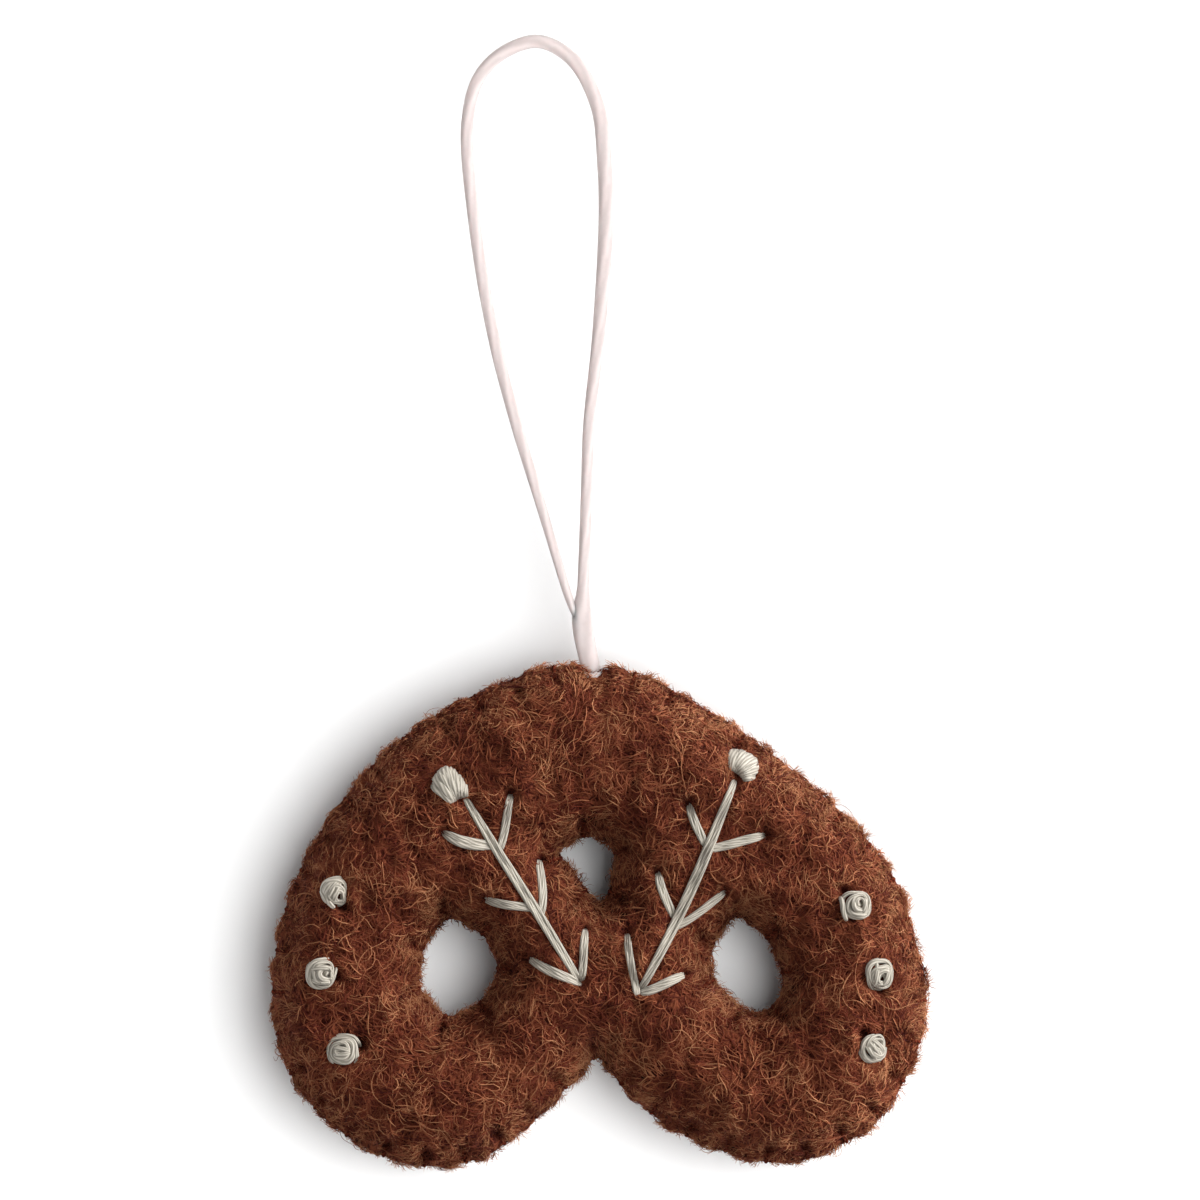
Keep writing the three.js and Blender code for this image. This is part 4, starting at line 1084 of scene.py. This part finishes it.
# %% Loose wool
CURLS = dict(longest=4.2, lift=0.32, stand=0.0, stations=6)
FUZZ = dict(longest=1.2, lift=0.2, stand=0.4, thick=0.028, stations=4)
# The edge fuzz is made lighter than the other fibres, as painted rim light.
EDGE_FUZZ = dict(longest=1.5, lift=0.1, stand=0.8, thick=0.033, stations=4, edge_only=True, painted_rim_light=0.65)
for number in range(4):
    fibres(f"front_curls_{number + 1}", "front_felt", 6200, 20 + number, thick=0.06, **CURLS)
for number in range(2):
    fibres(f"back_curls_{number + 1}", "back_felt", 4000, 30 + number, thick=0.065, **CURLS)
fibres("front_strays", "front_felt", 500, 45, longest=9.0, lift=0.7, stand=0.0, thick=0.036, stations=11)
fibres("back_strays", "back_felt", 200, 46, longest=11.0, lift=0.8, stand=0.0, thick=0.035, stations=13)
fibres("front_fuzz", "front_felt", 6000, 40, **FUZZ)
for number in range(2):
    fibres(f"front_edge_fuzz_{number + 1}", "front_felt", 6000, 60 + number, **EDGE_FUZZ)
fibres("back_fuzz", "back_felt", 4000, 42, **FUZZ)
for number in range(2):
    fibres(f"back_edge_fuzz_{number + 1}", "back_felt", 6000, 70 + number, **EDGE_FUZZ)

# %% [markdown]
# ## Stage
# In the photograph the ornament lies on white paper, and a soft shadow hugs its left side. Here a white sweep
# stands close behind it and curves into a pale floor further down. The camera sees it from its front only, so
# the ornament's back can be looked at too, and the lamps shine through it onto the ornament. It still takes the
# ornament's shadow and throws light back. The floor lies turned away from the light, so it glows up to white
# where it is looked at, and gives no light of its own to the ornament.

# %% Stage
SWEEP_Y, SWEEP_TURN, SWEEP_TOP, SWEEP_HALF = 0.0068, 0.05, 0.35, 0.7
FLOOR_Z, FLOOR_FRONT, FLOOR_GLOW = -0.22, -0.8, 0.75
WHITE = (1.0, 1.0, 1.0, 1.0)
bend = np.linspace(0, np.pi / 2, 25)
curve = np.column_stack([SWEEP_Y - SWEEP_TURN * (1 - np.cos(bend)), FLOOR_Z + SWEEP_TURN * (1 - np.sin(bend))])
profile = np.vstack([(SWEEP_Y, SWEEP_TOP), curve, (FLOOR_FRONT, FLOOR_Z)])
ends = (-SWEEP_HALF, SWEEP_HALF)
sweep_points = np.concatenate([np.column_stack([np.full(len(profile), x), profile]) for x in ends])
rows = np.arange(len(profile) - 1)
sweep_faces = np.stack([rows, rows + 1, rows + 1 + len(profile), rows + len(profile)], axis=1)
mesh = bpy.data.meshes.new("paper_sweep")
mesh.from_pydata(sweep_points.tolist(), [], sweep_faces.tolist())
mesh.polygons.foreach_set("use_smooth", np.full(len(sweep_faces), True))
paper_sweep = bpy.data.objects.new("paper_sweep", mesh)
bpy.context.scene.collection.objects.link(paper_sweep)
print("sweep:", len(sweep_faces), "faces")


# %% Paper
def on_show(add, reckon):
    """One for rays from the camera, off a shiny surface or through a clear one, and nought for all others."""
    rays = add("ShaderNodeLightPath").outputs
    shiny = reckon("ADD", rays["Is Camera Ray"], rays["Is Glossy Ray"], clamp=True)
    return reckon("ADD", shiny, rays["Is Transmission Ray"], clamp=True)


paper = bpy.data.materials.new("paper")
paper.use_nodes = True
paper.node_tree.nodes.clear()
add, reckon, join = node_tools(paper.node_tree)
rays = add("ShaderNodeLightPath").outputs
side = add("ShaderNodeNewGeometry").outputs
turned = add("ShaderNodeSeparateXYZ")
white = add("ShaderNodeBsdfDiffuse", Color=WHITE)
glow = add("ShaderNodeEmission")
lit = add("ShaderNodeAddShader")
clear_paper = add("ShaderNodeBsdfTransparent")
mix = add("ShaderNodeMixShader")
output = add("ShaderNodeOutputMaterial")
behind = reckon("MULTIPLY", rays["Is Camera Ray"], side["Backfacing"])
from_object = reckon("LESS_THAN", rays["Diffuse Depth"], 0.5)
join(reckon("MULTIPLY_ADD", rays["Is Shadow Ray"], from_object, behind, clamp=True), mix.inputs["Fac"])
join(side["Normal"], turned.inputs["Vector"])
level = reckon("MULTIPLY", turned.outputs["Z"], FLOOR_GLOW, clamp=True)
join(reckon("MULTIPLY", level, on_show(add, reckon)), glow.inputs["Strength"])
join(white.outputs["BSDF"], lit.inputs[0])
join(glow.outputs["Emission"], lit.inputs[1])
join(lit.outputs["Shader"], mix.inputs[1])
join(clear_paper.outputs["BSDF"], mix.inputs[2])
join(mix.outputs["Shader"], output.inputs["Surface"])
mesh.materials.append(paper)
print("paper:", len(paper.node_tree.nodes), "nodes")

# %% [markdown]
# ## Light
# A side light grazes the wool from the upper right and brings out its relief. A photographer keeps a light off
# the paper or off the wool with a card, and light linking does the same here: the paper and the cord have a
# large soft light of their own from the right, which gives the shadow, and the other lights leave them out, all
# but the one behind, which lets the back be seen. An edge light and an under light stand for what the paper
# throws back at the wool's right and lower edges, and leave out the pale floss too. A soft fill and a white room
# open the shadows, and a bounce lifts the left edge. Paper or wool that faces the camera gets about one unit of
# light in all, so colours come out about as written.

# %% Light
ROOM = 0.15
GREENISH = (0.93, 1.0, 0.92)


def sun(name, towards_light, strength, softness, tint=(1.0, 1.0, 1.0)):
    """A sun that shines from the given direction, as wide as softness in degrees."""
    data = bpy.data.lights.new(name, "SUN")
    data.energy = strength
    data.angle = math.radians(softness)
    data.color = tint
    lamp = bpy.data.objects.new(name, data)
    lamp.rotation_euler = Vector(towards_light).to_track_quat("Z", "Y").to_euler()
    bpy.context.scene.collection.objects.link(lamp)
    return lamp


def carded(lamp, state, pieces):
    """Light linking: the lamp lights nothing but these pieces (INCLUDE), or all the rest (EXCLUDE)."""
    listed = bpy.data.collections.new(lamp.name + "_card")
    for piece in pieces:
        listed.objects.link(piece)
    for entry in listed.collection_objects:
        entry.light_linking.link_state = state
    lamp.light_linking.receiver_collection = listed


pale = [paper_sweep, hanging_cord, inner_knot]
carded(sun("paper_light", (0.58, -0.81, -0.03), 4.1, 66), "INCLUDE", pale)
carded(sun("side_light", (0.81, -0.42, 0.41), 5.4, 30), "EXCLUDE", pale)
carded(sun("edge_light", (0.95, 0.1, 0.25), 4.2, 24, GREENISH), "EXCLUDE", pale + floss)
carded(sun("fill_light", (-0.35, -0.9, 0.25), 0.75, 120), "EXCLUDE", pale)
carded(sun("bounce_light", (-0.85, 0.45, 0.1), 2.2, 60), "EXCLUDE", pale)
carded(sun("under_light", (0.5, 0.35, -0.79), 3.2, 60, GREENISH), "EXCLUDE", pale + floss)
sun("back_light", (0.5, 0.7, 0.5), 3.8, 30)
world = bpy.data.worlds.new("white_room")
bpy.context.scene.world = world
world.use_nodes = True
add, reckon, join = node_tools(world.node_tree)
room = world.node_tree.nodes["Background"]
room.inputs["Color"].default_value = WHITE
strength = add("ShaderNodeMapRange", **{"To Min": ROOM, "To Max": 1.0})
join(on_show(add, reckon), strength.inputs["Value"])
join(strength.outputs["Result"], room.inputs["Strength"])
bpy.context.scene.view_settings.view_transform = "Standard"
